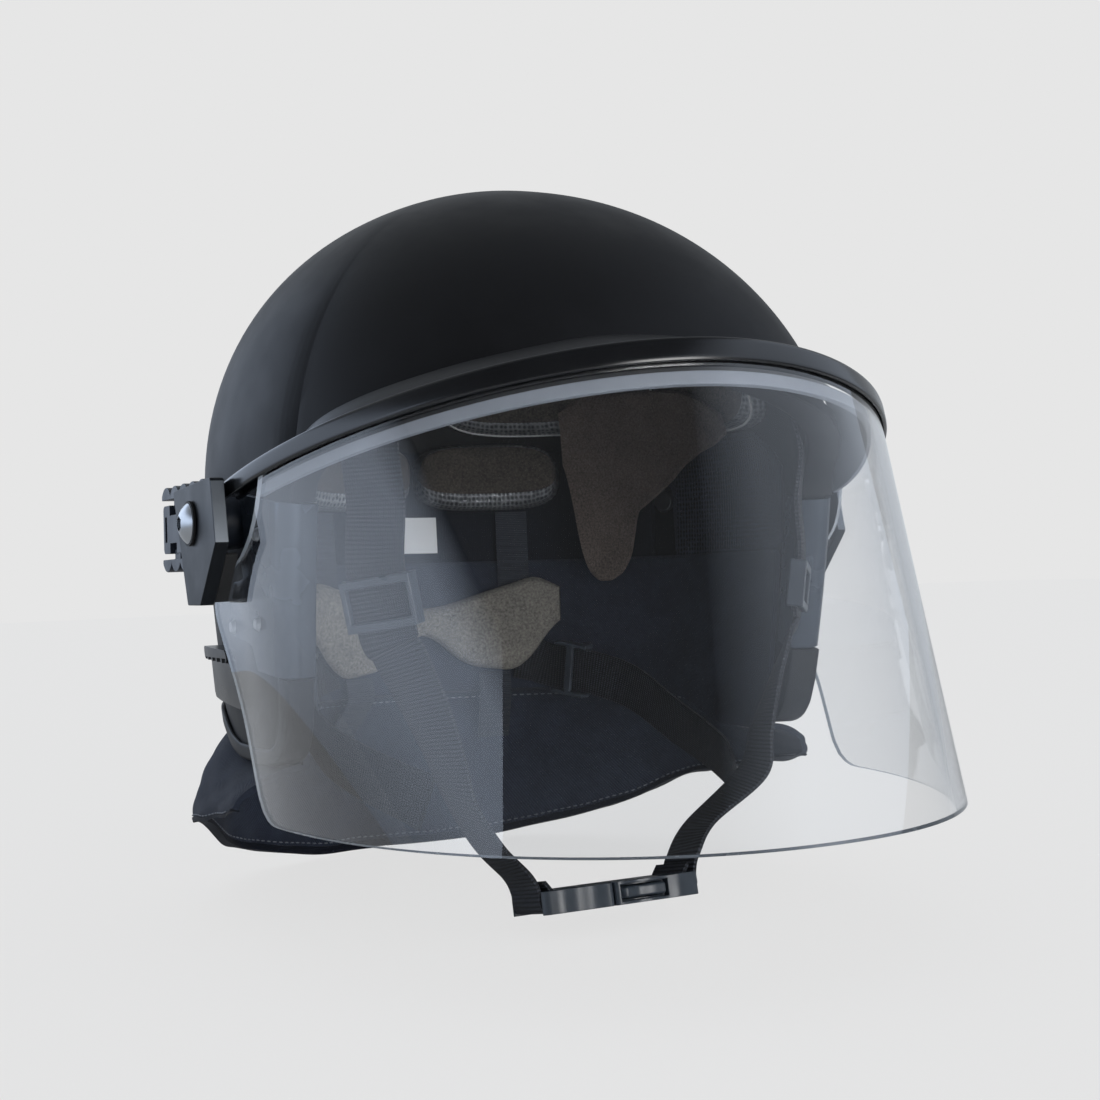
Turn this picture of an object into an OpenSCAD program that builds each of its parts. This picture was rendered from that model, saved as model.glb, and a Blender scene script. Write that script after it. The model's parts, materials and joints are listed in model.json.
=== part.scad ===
// Police riot helmet with a hinged face shield, padded liner, chin strap and neck curtain.
// Millimetres. The helmet faces -Y, +Z is up and +X is the wearer's left.
// The origin is in the middle of the head space, level with the widest ring of the shell.

/* [Shell] */
// Half of the shell's width over the ears
shell_half_w = 122; // [117:1:128]
// Middle of the shell to its brow
shell_front = 125; // [119:1:131]
// Middle of the shell to its back
shell_back = 124; // [119:1:132]
// Widest ring to the crown
crown_h = 120.5; // [112:0.5:128]
// Wall of the shell
shell_t = 8; // [6:0.5:9]
// Squareness of the plan behind the ears, where 2 is an ellipse
plan_power = 2.2; // [2:0.1:2.6]
// Squareness of the plan at the brow
brow_power = 2.6; // [2.2:0.1:2.7]
// Squareness of the side view at the front, where 2 is an ellipse
front_power = 1.95; // [1.8:0.05:2.2]
// Squareness of the side view at the back
back_power = 2.25; // [2:0.05:2.5]
// How far the ear flaps close in at their foot, as a share
ear_taper = 0.065; // [0.02:0.005:0.09]
// Height of the brow edge
brow_z = 34.5; // [30:0.5:38]
// Bearing of the ear flap's front edge at its top, from straight ahead
ear_lead = 61; // [58:0.5:64]
// Bearing of the ear flap's front edge at its foot
ear_foot = 68.5; // [66:0.5:72]
// Foot of the ear flap below the widest ring
ear_drop = 98; // [90:1:104]
// Nape edge below the widest ring
nape_drop = 84; // [78:1:88]

/* [Rim] */
// How far the rubber edging reaches up the shell
trim_h = 3.6; // [3:0.2:5]
// Rubber on each face of the shell
trim_t = 1.8; // [1.2:0.2:2.4]
// Rubber under the edge
trim_foot = 2.4; // [1.6:0.2:3]
// Wall of the moulded covers on the ear flaps
clamp_t = 3; // [2:0.2:3.6]
// Wall of the seal between the brow and the face shield
gasket_t = 3.5; // [2.5:0.5:4.5]

/* [Face shield] */
// Face shield thickness
sheet_t = 4; // [3:0.5:5]
// Shell to the middle of the sheet beside the ear
side_gap = 6.3; // [6:0.3:9]
// Brow to the middle of the sheet at the top
front_gap = 31.6; // [28:0.4:36]
// How much further forward the sheet stands at its lower edge
flare = 44; // [32:1:48]
// How much narrower the sheet is at its lower edge, each side
tuck = 5.3; // [3:0.1:7]
// Height of the sheet below the end of its lip
sheet_drop = 114.8; // [105:0.2:122]
// How far the lip climbs from its ends to the brow
lip_rise = 36; // [30:1:40]
// Height of the ends of the lip
lip_end_z = -1.8; // [-3:0.2:0]
// Width of the lip across the sheet
lip_w = 7.5; // [7:0.5:9]
// Height of the lip
lip_h = 6; // [5:0.5:8]

/* [Pivot] */
// Pivot forward of the middle
pivot_y = 18; // [16:0.5:20]
// Pivot below the widest ring
pivot_drop = 12.5; // [11:0.5:14]
// Side plate thickness
plate_t = 5; // [3.5:0.5:6]
// Radius of the steel bush that the plate turns on
bush_r = 6; // [5:0.25:7]
// Running clearance round the bush
bush_fit = 0.08; // [0.05:0.01:0.1]
// Radius of the screw's shank
screw_r = 4; // [3:0.25:4.5]
// Radius of the button head
head_r = 7.3; // [6.5:0.1:8]
// Height of the button head
head_h = 3.4; // [3:0.1:4]

/* [Latch] */
// Length of the latch housing behind the pivot
latch_len = 66; // [60:1:72]
// Height of the latch housing between its squeeze pads
latch_core_h = 19; // [17:0.5:21]
// Travel of a squeeze pad
latch_travel = 2; // [1:0.25:2.5]
// Ribs on a squeeze pad
latch_ribs = 5; // [4:1:6]

/* [Harness] */
// Width of the chin webbing
web_w = 22; // [20:1:24]
// Thickness of the webbing
web_t = 1.6; // [1.2:0.1:2]
// Length of the buckle's socket
socket_len = 36; // [32:1:40]
// Width of the buckle across its arms
buckle_w = 32; // [30:1:36]
// Thickness of the buckle
buckle_h = 8; // [7:0.5:9]
// Middle of the buckle below the widest ring
buckle_drop = 151; // [146:1:158]
// Tilt of the buckle, rear edge down
buckle_tilt = 11; // [0:1:15]

/* [Liner] */
// Thickness of the head pads
pad_t = 15; // [11:1:17]
// Height of the cloth band round the back of the liner
band_h = 52; // [46:1:56]
// Thickness of the band
band_t = 3; // [2:0.5:4]

/* [Neck curtain] */
// Top seam of the curtain below the widest ring
curtain_top = 30; // [26:1:36]
// Hem beside the ear below the widest ring
hem_side = 110; // [106:1:116]
// Hem at the nape below the widest ring
hem_nape = 162; // [150:1:168]
// Thickness of the padded cloth
cloth_t = 2.4; // [1.8:0.2:3]
// How far the hem stands outside the shell
hem_flare = 17; // [10:0.5:19]

/* [Hidden] */
$fn = 48;

// Gap between pieces that only lie against each other
seat = 0.3;
// Length of a cutter that passes right through
through = 600;
// Columns round the shell, and the bearing between two of them
columns = 60;
pitch = 360 / columns;
// Half of the sheet's width and its reach forward, at the lip
sheet_half_w = shell_half_w + side_gap;
sheet_front = shell_front + front_gap;
// Where the sheet starts to bow inwards, forward of the middle, at the lip and at the foot
bow_top = pivot_y + 17.4;
bow_foot = pivot_y + 31.9;
sheet_bottom = lip_end_z - sheet_drop;
// Squareness of the bow in plan, at the lip and at the foot
bow_power_top = 1.93;
bow_power_foot = 2.1;
// Inner face of the side plates
plate_x = sheet_half_w + lip_w / 2 + 1.5;
pivot = [-pivot_y, -pivot_drop];
// Floor of the counterbore inside the shell that holds the pivot's nut
nut_x = shell_half_w - shell_t + 2.5;

// Helpers

function unit(v) = v / norm(v);
function mix(a, b, t) = a + (b - a) * t;
// Height of a rounded bump over -1 to 1
function bump(s, p) = pow(max(0, 1 - pow(abs(s), p)), 1 / p);
// Value at a on a polyline of [a, value] pairs
function look(pairs, a, i = 0) =
    i >= len(pairs) - 2 || a <= pairs[i + 1][0]
    ? mix(pairs[i][1], pairs[i + 1][1],
          max(0, min(1, (a - pairs[i][0]) / (pairs[i + 1][0] - pairs[i][0]))))
    : look(pairs, a, i + 1);

// Points round corner q between p and s, where q[2] is its radius
function corner(p, q, s, steps) =
    let (c = [q[0], q[1]], r = q[2])
    r == 0 ? [c] :
    let (u = unit([p[0], p[1]] - c), v = unit([s[0], s[1]] - c), half = acos(u * v) / 2,
         m = c + unit(u + v) * r / sin(half), d = r / tan(half),
         a = c + u * d - m, b = c + v * d - m,
         start = atan2(a[1], a[0]), turn = atan2(b[1], b[0]) - start,
         sweep = turn > 180 ? turn - 360 : turn < -180 ? turn + 360 : turn)
    [for (k = [0:steps]) m + r * [cos(start + sweep * k / steps), sin(start + sweep * k / steps)]];

// Polygon with corner i rounded to pts[i][2]
function rounded(pts, steps = 6) =
    [for (i = [0:len(pts) - 1])
        each corner(pts[(i + len(pts) - 1) % len(pts)], pts[i], pts[(i + 1) % len(pts)], steps)];

// Closed solid through a row of rings with the same number of points. In a strip the second half
// of a ring runs back beside the first half, and the ends are closed across it.
module skin(rings, strip = true) {
    n = len(rings[0]);
    rows = len(rings);
    last = (rows - 1) * n;
    points = [for (ring = rings) each ring];
    sides = [for (i = [0:rows - 2], j = [0:n - 1])
        let (a = i * n + j, b = i * n + (j + 1) % n) each [[a, b, b + n], [a, b + n, a + n]]];
    ends = strip
        ? [for (k = [0:n / 2 - 2])
            let (a = k, b = k + 1, c = n - 2 - k, d = n - 1 - k)
            each [[d, c, b], [d, b, a], [last + a, last + b, last + c], [last + a, last + c, last + d]]]
        : [[for (j = [n - 1:-1:0]) j], [for (j = [0:n - 1]) last + j]];
    polyhedron(points, concat(sides, ends));
}

// Side view (y, z) pushed across the whole helmet
module across(width = through) {
    rotate([90, 0, 90])
        linear_extrude(width, center = true)
            children();
}

// Side view (y, z) pushed from x = near to x = far on the left side
module slab(near, far) {
    translate([near, 0, 0])
        rotate([90, 0, 90])
            linear_extrude(far - near)
                children();
}

// The left piece, or its mirror image on the right
module sided(left) {
    if (left) children();
    else mirror([1, 0, 0]) children();
}

// Shell surface

// Heights of the shell's rows below and above its widest ring
low_rows = [for (i = [4:-1:1]) -(ear_drop + 14) * i / 4];
function high_rows(h) =
    [for (w = [0, 7, 13, 20, 28, 37, 47, 57, 66, 75, 82, 87]) h * pow(sin(w), 2 / back_power)];
rows = concat(low_rows, high_rows(crown_h));

// How much the plan has drawn in at height z under a crown at height h
function wall_share(z, h, power) =
    z > 0
    ? pow(max(0, 1 - pow(min(z, h) / h, power)), 1 / power)
    : 1 - ear_taper * pow(min(-z, ear_drop + 14) / ear_drop, 1.5);

function plan_at(a, z) =
    cos(a) > 0 ? mix(brow_power, plan_power, max(0, z) / crown_h) : plan_power;

// Distance from the middle at bearing a, where 0 faces forward, at height z and g outside the shell
function reach(a, z, g) =
    let (p = plan_at(a, min(z, crown_h)))
    wall_share(z, crown_h + g, mix(back_power, front_power, (1 + cos(a)) / 2))
    * pow(pow(abs(sin(a)) / (shell_half_w + g), p)
        + pow(abs(cos(a)) / ((cos(a) > 0 ? shell_front : shell_back) + g), p), -1 / p);

function wall(a, z, g = 0) =
    [reach(a, z, g) * sin(a), -reach(a, z, g) * cos(a), z];

// Side of the shell y forward of its middle, at a height z below the widest ring
function side_x(y, z) =
    shell_half_w * pow(pow(wall_share(z, crown_h, 2), brow_power) - pow(y / shell_front, brow_power),
                       1 / brow_power);

// Solid inside the surface that lies g outside the shell
module dome(g) {
    heights = concat(low_rows, high_rows(crown_h + g));
    skin([for (k = [0:len(rows) - 1]) [for (i = [0:columns - 1]) wall(-pitch * i, heights[k], g)]], false);
}

// Piece of wall between columns i1 and i2 and rows k1 and k2 of the shell, from inner to outer
module wall_block(i1, i2, k1, k2, inner, outer) {
    skin([for (i = [i1:i2])
        concat([for (k = [k1:k2]) wall(i * pitch, rows[k], outer)],
               [for (k = [k2:-1:k1]) wall(i * pitch, rows[k], inner)])]);
}

// Edge of the shell as [bearing, height], from the brow to the nape
ear_top = 8.5;
clamp_top = -7;
clamp_low = -69;
rim_turns = concat(
    [for (p = [[-1, 1], [8, 0.98], [14, 0.92], [20, 0.82], [26, 0.71], [32, 0.6], [38, 0.46],
               [44, 0.32], [50, 0.155], [54.5, 0]])
        [p[0] * ear_lead / 59, mix(ear_top, brow_z, p[1])]],
    [[ear_lead - 1.5, ear_top - 4.5], [ear_lead, ear_top - 9.5], [ear_lead + 0.7, clamp_top],
     [mix(ear_lead, ear_foot, 0.31), -30], [mix(ear_lead, ear_foot, 0.69), clamp_low],
     [ear_foot - 1.2, -ear_drop + 16], [ear_foot + 0.2, -ear_drop + 8],
     [ear_foot + 2.5, -ear_drop + 2.5], [ear_foot + 6, -ear_drop], [92, -ear_drop],
     [98, -ear_drop + 2.5], [104, mix(-ear_drop, -nape_drop, 0.58)],
     [110, mix(-ear_drop, -nape_drop, 0.82)], [118, mix(-ear_drop, -nape_drop, 0.9)],
     [136, -nape_drop], [158, -nape_drop], [181, -nape_drop]]);
rim_path = concat(
    [for (i = [0:len(rim_turns) - 2])
        let (p = rim_turns[i], q = rim_turns[i + 1],
             n = ceil(max((q[0] - p[0]) / 6.3, abs(q[1] - p[1]) / 16)))
        each [for (k = [0:n - 1]) mix(p, q, k / n)]],
    [rim_turns[len(rim_turns) - 1]]);

// Height of the edge at bearing a
function edge_z(a) = look(rim_path, abs(a));

// The edge moved d up into the shell, laid out flat on a circle of the shell's mean radius
mean_r = shell_half_w - shell_t / 2;
function rim_offset(d) =
    let (k = mean_r * PI / 180, last = len(rim_path) - 1,
         p = [for (q = rim_path) [q[0] * k, q[1]]],
         run = [for (i = [0:last - 1]) unit(p[i + 1] - p[i])])
    [for (i = [0:last])
        let (r1 = run[max(0, i - 1)], r2 = run[min(i, last - 1)], m = unit(r1 + r2),
             q = p[i] + d / (m * r1) * [-m[1], m[0]])
        [q[0] / k, q[1]]];

// Everything under the edge of the shell, with the edge moved d up into the shell
module opening(d = 0, sides = [false, true]) {
    path = rim_offset(d);
    low = -ear_drop - 60;
    for (left = sides)
        sided(left)
            skin([for (p = path)
                let (v = [sin(p[0]), -cos(p[0]), 0], up = [0, 0, 1],
                     r1 = reach(p[0], p[1], -shell_t - 10), r2 = reach(p[0], p[1], 12))
                [v * r1 * 0.9 + up * low, v * r2 * 1.1 + up * low,
                 v * r2 + up * p[1], v * r1 + up * p[1]]]);
}

// Pieces that lie on the shell's inner face

// Cushion between cols of [bearing, low, high], with its back g outside the shell and t thick,
// crowned towards the head and drawn in at its edges
module cushion(cols, g, t, rows, edge) {
    last = len(cols) - 1;
    rings = [for (i = [0:last])
        let (c = cols[i], s = 2 * i / last - 1,
             back = [for (k = [0:rows]) wall(c[0], mix(c[1], c[2], k / rows), g)],
             face = [for (k = [rows:-1:0])
                 wall(c[0], mix(c[1], c[2], k / rows),
                      g - edge - (t - edge) * bump(s, 4) * bump(2 * k / rows - 1, 3.2))])
        concat(back, face)];
    skin(rings);
}

// Columns of an oval-ended outline from bearing a1 to a2 and height z1 to z2
function oval(a1, a2, z1, z2, count, p = 3.4) =
    [for (i = [0:count])
        let (s = -cos(180 * i / count), h = max(0.12, bump(s, p)))
        [mix(a1, a2, (s + 1) / 2), (z1 + z2) / 2 - h * (z2 - z1) / 2,
         (z1 + z2) / 2 + h * (z2 - z1) / 2]];

function flipped(cols) = [for (i = [len(cols) - 1:-1:0]) [-cols[i][0], cols[i][1], cols[i][2]]];

// Webbing through stations of [middle, direction of its width]
module webbing(stations, w, t = web_t) {
    last = len(stations) - 1;
    skin([for (i = [0:last])
        let (p = stations[i][0], side = unit(stations[i][1]),
             run = unit(stations[min(i + 1, last)][0] - stations[max(i - 1, 0)][0]),
             thick = unit(cross(run, side)), across = unit(cross(thick, run)))
        [p + across * w / 2 - thick * t / 2, p - across * w / 2 - thick * t / 2,
         p - across * w / 2 + thick * t / 2, p + across * w / 2 + thick * t / 2]]);
}

// Shell and rim

module shell() {
    color("#1c1c1e")
        difference() {
            dome(0);
            dome(-shell_t);
            opening();
            for (side = [-1, 1]) {
                translate([side * shell_half_w, pivot[0], pivot[1]])
                    rotate([0, 90, 0])
                        cylinder(r = bush_r + 0.05, h = 60, center = true);
                translate([side * nut_x, pivot[0], pivot[1]])
                    rotate([0, -90 * side, 0])
                        cylinder(r = 10.5, h = 10);
                rotate([0, 0, side * bolt_bearing])
                    translate([0, -shell_front, bolt_z])
                        rotate([90, 0, 0])
                            cylinder(r = bolt_r + 0.05, h = 80, center = true);
            }
        }
}

// Channel of rubber on the edge of the shell through the given points of the rim path, counted from
// the brow, negative on the right, or from the nape
clamp_first = [for (i = [0:len(rim_path) - 1]) if (rim_path[i][1] == clamp_top) i][0];
clamp_last = [for (i = [0:len(rim_path) - 1]) if (rim_path[i][1] == clamp_low) i][0];
module edging(stations, rear) {
    grip = -shell_t - 0.75;
    back = -shell_t - trim_t - 0.4;
    face = trim_t + 0.2;
    section = [[trim_h, face], [1.2 - trim_foot, face], [-trim_foot, face - 1.2],
               [-trim_foot, back + 1.2], [1.2 - trim_foot, back], [trim_h, back],
               [trim_h, grip], [-0.4, grip], [-0.4, grip * 0.66], [-0.4, grip * 0.33],
               [-0.4, 0.35], [trim_h, 0.35]];
    lines = [for (p = section) rim_offset(p[0])];
    last = len(rim_path) - 1;
    skin([for (i = stations) [for (k = [0:len(section) - 1])
        let (j = rear ? last - abs(i) : abs(i), q = lines[k][j],
             a = i == 0 ? (rear ? 180 : 0) : rear && i > 0 ? 360 - q[0] : i < 0 && !rear ? -q[0] : q[0],
             lift = j == clamp_first ? 0.7 : j == clamp_last ? -0.7 : 0)
        wall(a, q[1] + lift, section[k][1])]]);
}

module rim_trim() {
    rear = len(rim_path) - 1 - clamp_last;
    color("#35353a") {
        edging([clamp_first:-1:-clamp_first], false);
        edging([rear:-1:-rear], true);
    }
}

// Section of the seal at station u, from the shell's brow to just behind the sheet
module brow_gasket() {
    stations = 36;
    u_end = 0.88;
    edging_top = rim_offset(trim_h);
    gap = sheet_t / 2 + 0.4;
    clear = lip_w / 2 + 0.7;
    from = (lip_h / 2 + 1.1) / sheet_drop;
    to = from + gasket_t / sheet_drop;
    arch = [0, 0, 2.2];
    color("#6c7178")
        skin([for (i = [0:stations])
            let (u = mix(-u_end, u_end, i / stations),
                 far = sheet(u, 0, -gap),
                 a = atan2(far[0], -far[1]),
                 z = max(far[2] + 1, look(edging_top, abs(a)) + 5.2),
                 low = wall(a, z, 0.15),
                 high = wall(a, z + gasket_t, 0.15))
            [sheet(u, from, -gap), sheet(u, from, -clear), mix(sheet(u, from, -clear), high, 0.5) + arch, high,
             low, mix(low, sheet(u, to, -clear), 0.5) + arch, sheet(u, to, -clear), sheet(u, to, -gap)]]);
}

// Moulded covers on the front edges of the ear flaps

// Side view of a clamp whose rear edge lies at the given distances forward of the middle
module clamp_outline(top, low) {
    polygon(rounded([
        [-through, clamp_top, 0],
        [-top, clamp_top, 6],
        [-low, clamp_low, 3],
        [-through, clamp_low, 0]
    ]));
}

module ear_clamp(left) {
    color("#83888e")
        sided(left)
            difference() {
                union() {
                    intersection() {
                        wall_block(8, 15, 1, 4, -shell_t - clamp_t, clamp_t);
                        slab(60, 160) clamp_outline(46, 40);
                    }
                    intersection() {
                        wall_block(8, 15, 1, 4, 0.15, clamp_t);
                        slab(60, 160) {
                            clamp_outline(31, 36);
                            polygon(rounded([
                                [-40, -40, 0], [-27, -38, 2], [-17, -57, 2], [-40, -60, 0]
                            ]));
                        }
                    }
                }
                opening(-clamp_t, [true]);
                difference() {
                    wall_block(7, 16, 0, 5, -shell_t - 0.2, 0.15);
                    opening(-0.2, [true]);
                }
            }
}

module clamp_rivets() {
    color("#9a9da1")
        for (side = [-1, 1], p = [[47, -18], [42, -49], [23, -50]])
            translate([side * (side_x(p[0], p[1]) + clamp_t + 0.4), -p[0], p[1]])
                rotate([0, side * 90, 0])
                    cylinder(r1 = 2.6, r2 = 1.8, h = 1.4, $fn = 24);
}

// Latch housing and squeeze pads on the side of the shell

latch_x = plate_x - 1.4;
latch_root = shell_half_w - 22;
latch_rear = latch_len - pivot_y;
latch_top = -pivot_drop + latch_core_h / 2;
latch_bottom = -pivot_drop - latch_core_h / 2;
latch_pad_h = 5;
rib_pitch = latch_len / latch_ribs;
window_y = latch_rear - 15;

module latch_block(left) {
    color("#2c3442")
        sided(left)
            difference() {
                union() {
                    slab(latch_root, latch_x)
                        polygon(rounded([
                            [-pivot_y + 6, latch_bottom, 0],
                            [latch_rear, latch_bottom, 2],
                            [latch_rear, latch_top, 2],
                            [-pivot_y + 6, latch_top, 0]
                        ]));
                    translate([latch_root, pivot[0], pivot[1]])
                        rotate([0, 90, 0])
                            cylinder(r = latch_core_h / 2, h = plate_x - 0.3 - latch_root);
                }
                wall_block(11, 20, 2, 6, -shell_t - 30, 0.25);
                translate([latch_root, pivot[0], pivot[1]])
                    rotate([0, 90, 0])
                        cylinder(r = bush_r + 0.05, h = 100);
                for (z = [latch_top - 4, latch_bottom - 1])
                    translate([latch_x - 7, window_y - 5, z])
                        cube([30, 10, 5]);
                translate([latch_x - 5, latch_rear - 5.5, -pivot_drop - 5])
                    cube([20, 3, 10]);
            }
}

// Ribbed squeeze pad above or below the housing
module latch_tab(left, upper) {
    flip = upper ? 1 : -1;
    base = latch_core_h / 2 + latch_travel + seat;
    color("#3a4454")
        sided(left)
            translate([0, 0, -pivot_drop])
                    union() {
                        for (i = [0:latch_ribs - 1])
                            translate([0, latch_rear + 2 - rib_pitch * (i + 0.5), 0])
                                intersection() {
                                    translate([latch_x - 8, 0, flip * (base + latch_pad_h - rib_pitch * 0.62)])
                                        rotate([0, 90, 0])
                                            cylinder(r = rib_pitch * 0.62, h = 8);
                                    translate([latch_x - 8, -rib_pitch / 2,
                                               flip > 0 ? base : -base - latch_pad_h])
                                        cube([8, rib_pitch, latch_pad_h]);
                                }
                        translate([latch_x - 5, window_y - 4.2,
                                   flip > 0 ? base - 4 : -base - 0.8])
                            cube([3.4, 8.4, 4.8]);
                    }
}

// Pivot hardware

module pivot_bush(left) {
    color("#a8abaf")
        sided(left)
            translate([0, pivot[0], pivot[1]])
                rotate([0, 90, 0])
                    difference() {
                        translate([0, 0, nut_x + 0.1])
                            cylinder(r = bush_r, h = plate_x + plate_t + 0.1 - nut_x);
                        cylinder(r = screw_r + 0.05, h = through);
                    }
}

module pivot_screw(left) {
    head_x = plate_x + plate_t + 1.4;
    dome_r = (head_r * head_r + head_h * head_h) / (2 * head_h);
    color("#8f9296")
        sided(left)
            translate([0, pivot[0], pivot[1]])
                rotate([0, 90, 0])
                    difference() {
                        union() {
                            translate([0, 0, nut_x - 4.6])
                                cylinder(r = screw_r, h = head_x - nut_x + 5);
                            translate([0, 0, head_x])
                                intersection() {
                                    cylinder(r = head_r, h = head_h);
                                    translate([0, 0, head_h - dome_r])
                                        sphere(r = dome_r + 0.01, $fn = 64);
                                }
                        }
                        translate([0, 0, head_x + head_h - 2.4])
                            cylinder(r = 2.9, h = 10, $fn = 6);
                    }
}

module pivot_washers() {
    color("#1a1a1b")
        for (side = [-1, 1])
            translate([side * (plate_x + plate_t + 0.8), pivot[0], pivot[1]])
                rotate([0, 90, 0])
                    difference() {
                        cylinder(r = head_r + 0.9, h = 1, center = true);
                        cylinder(r = screw_r + 0.2, h = 4, center = true);
                    }
}

module pivot_nuts() {
    color("#8f9296")
        for (side = [-1, 1])
            translate([side * (nut_x - 0.05), pivot[0], pivot[1]])
                rotate([0, -90 * side, 0])
                    difference() {
                        union() {
                            cylinder(r = 10, h = 1.4);
                            cylinder(r = 7.2, h = 4.4, $fn = 6);
                        }
                        translate([0, 0, -1])
                            cylinder(r = screw_r + 0.05, h = 10);
                    }
}

// Fluted clip on the shell above the edging, which holds the curtain's cord

module rim_clip(left) {
    color("#111113")
        sided(left)
            difference() {
                union() {
                    intersection() {
                        wall_block(12, 18, 1, 3, -4, 4.6);
                        slab(60, 160)
                            polygon(rounded([
                                [-15, -81, 3], [25, -78, 3], [23, -60, 6], [-13, -61, 6]
                            ]));
                    }
                    intersection() {
                        wall_block(12, 18, 1, 3, -4, 7.4);
                        slab(60, 160)
                            polygon(rounded([
                                [-12, -64, 2], [22, -63, 2], [21, -58, 2], [-11, -59, 2]
                            ]));
                    }
                }
                wall_block(11, 19, 0, 4, -10, 0.2);
                for (y = [-8:6.5:19])
                    translate([shell_half_w + 4.4, y, -75])
                        rotate([0, -4, 0])
                            cylinder(r = 2.5, h = 26, center = true, $fn = 20);
            }
}

// Liner

band_g = -shell_t - 0.6;
band_low = -curtain_top + 0.6;
pad_g = band_g - band_t - seat - 0.2;
lining_g = -shell_t - 2.6;
// Back of the pads that lie on the shell itself, and of the pad at the nape
high_pad_g = band_g - 0.5;
nape_pad_g = -shell_t - 8.8;
bolt_bearing = 115;
bolt_z = -3;
bolt_r = 3;

// Cloth or leather between cols of [bearing, low, high], with its back g outside the shell
module lining(cols, g, t, rows = 3) {
    skin([for (c = cols)
        concat([for (k = [0:rows]) wall(c[0], mix(c[1], c[2], k / rows), g)],
               [for (k = [rows:-1:0]) wall(c[0], mix(c[1], c[2], k / rows), g - t)])]);
}

module liner_band() {
    color("#20263a")
        lining([for (i = [0:32]) [mix(118, 242, i / 32), band_low, band_low + band_h]], band_g, band_t, 4);
}

// Mesh panels over the pivot nuts, from the brow padding back to the liner band
module side_linings() {
    cols = [[69, -24, 6], [73, -27, 15], [79, -29, 22], [86, -29.4, 23], [94, -29.4, 23],
            [102, -29.4, 23], [110.8, -29.4, 23], [111.3, 3.8, 23], [117.8, 3.8, 23]];
    color("#23283a") {
        lining(cols, lining_g, 1.6, 4);
        lining(flipped(cols), lining_g, 1.6, 4);
    }
}

module crown_pad() {
    color("#5c5853")
        translate([0, 0, crown_h - shell_t - 1.2 - pad_t])
            rotate_extrude($fn = 48)
                polygon(concat(
                    [[0, 0]],
                    [for (i = [0:6]) [40 + 5 * sin(i * 15), 5 - 5 * cos(i * 15)]],
                    [for (i = [0:5]) let (r = 45 - 9 * i) [r, pad_t - r * r / 230]]));
}

module front_pad() {
    color("#5c5853")
        cushion(oval(-54, 54, 45, 76, 16), high_pad_g, pad_t, 6, 4);
}

module pad_pair(a1, a2, z1, z2, count, g) {
    cols = oval(a1, a2, z1, z2, count);
    color("#5c5853") {
        cushion(cols, g, pad_t, 6, 4);
        cushion(flipped(cols), g, pad_t, 6, 4);
    }
}

module side_pads() {
    pad_pair(72, 108.5, 25, 60, 10, high_pad_g);
}

module upper_rear_pads() {
    pad_pair(112, 172, 31, 68, 13, high_pad_g);
}

module rear_pads() {
    pad_pair(142, 178.5, -4, 27, 12, pad_g);
}

module temple_leather(left) {
    color("#4e4a45")
        sided(left)
            lining([[78, 22, 30], [85, 18, 38], [92, 16, 42], [100, 11, 44], [107, 3, 45],
                    [113, -3, 45], [118, -8, 45], [119.5, -26, 45], [122, -34, 45], [126, -38, 45],
                    [130, -38, 45], [133, -33, 44], [135, -22, 43], [136.5, -4, 42], [139, 18, 40]],
                   high_pad_g - pad_t - seat, 2.4);
}

module nape_pad() {
    half = [[180, -61, -50], [177, -62, -50], [173, -70, -49], [169, -77, -47], [164, -78, -44],
            [158, -80, -41], [152, -80, -38], [148, -69.5, -35], [144.5, -60, -36], [142, -54, -45]];
    all = concat([for (i = [len(half) - 1:-1:1]) half[i]],
                 [for (c = half) [360 - c[0], c[1], c[2]]]);
    color("#6a665f")
        cushion(all, nape_pad_g, 9, 6, 3);
}

// Corrugated elastics from the band to the nape pad, and from the pad down the curtain
module nape_elastics() {
    half = 8 * 180 / (PI * 105);
    color("#3a3d44")
        for (side = [-1, 1]) {
            skin([for (i = [16:-1:0])
                let (z = mix(-5, -43, i / 16), swell = i % 2 == 0 ? 0 : 0.35,
                     a = side * 154, g = -shell_t - 6.15)
                [wall(a + half, z, g + swell), wall(a - half, z, g + swell),
                 wall(a - half, z, g - 1 - swell), wall(a + half, z, g - 1 - swell)]]);
            skin([for (i = [12:-1:0])
                let (swell = i % 2 == 0 ? 0 : 0.35)
                [elastic(i / 12, side, 1, swell), elastic(i / 12, side, -1, swell),
                 elastic(i / 12, side, -1, -1 - swell), elastic(i / 12, side, 1, -1 - swell)]]);
        }
}

// Edge point of a lower elastic at share t of its way, from the nape pad out to the curtain
function elastic(t, side, edge, g) =
    let (a = 180 - side * 20 + edge * 4.2,
         end = curtain_end(0.5))
    t < 0.3
    ? wall(a, mix(-80.4, -90, t / 0.3), nape_pad_g - 1.2 + g)
    : mix(wall(a, -90, nape_pad_g - 1.2 + g),
          curtain((a - end) / (360 - 2 * end), 0.5, -cloth_t / 2 - 0.6 + g), (t - 0.3) / 0.7);

module liner_label() {
    color("#d9dadb")
        skin([for (a = [173, 178, 182])
            let (g = pad_g)
            [wall(a, -24, g), wall(a, -7, g), wall(a, -7, g - 1), wall(a, -24, g - 1)]]);
}

// Screw posts that hold the liner, with a head outside and a cap inside
module shell_bolts() {
    color("#84878b")
        for (side = [-1, 1])
            rotate([0, 0, side * bolt_bearing])
                translate([0, -bolt_reach, bolt_z])
                    rotate([90, 0, 0]) {
                        translate([0, 0, -shell_t - 1])
                            cylinder(r = bolt_r, h = shell_t + 1.6);
                        translate([0, 0, 0.5])
                            cylinder(r1 = 5, r2 = 3.8, h = 1.8);
                        translate([0, 0, -shell_t - 3.1])
                            cylinder(r1 = 4.6, r2 = 5.3, h = 2);
                    }
}

bolt_reach = reach(bolt_bearing, bolt_z, 0);

// Chin harness

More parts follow.
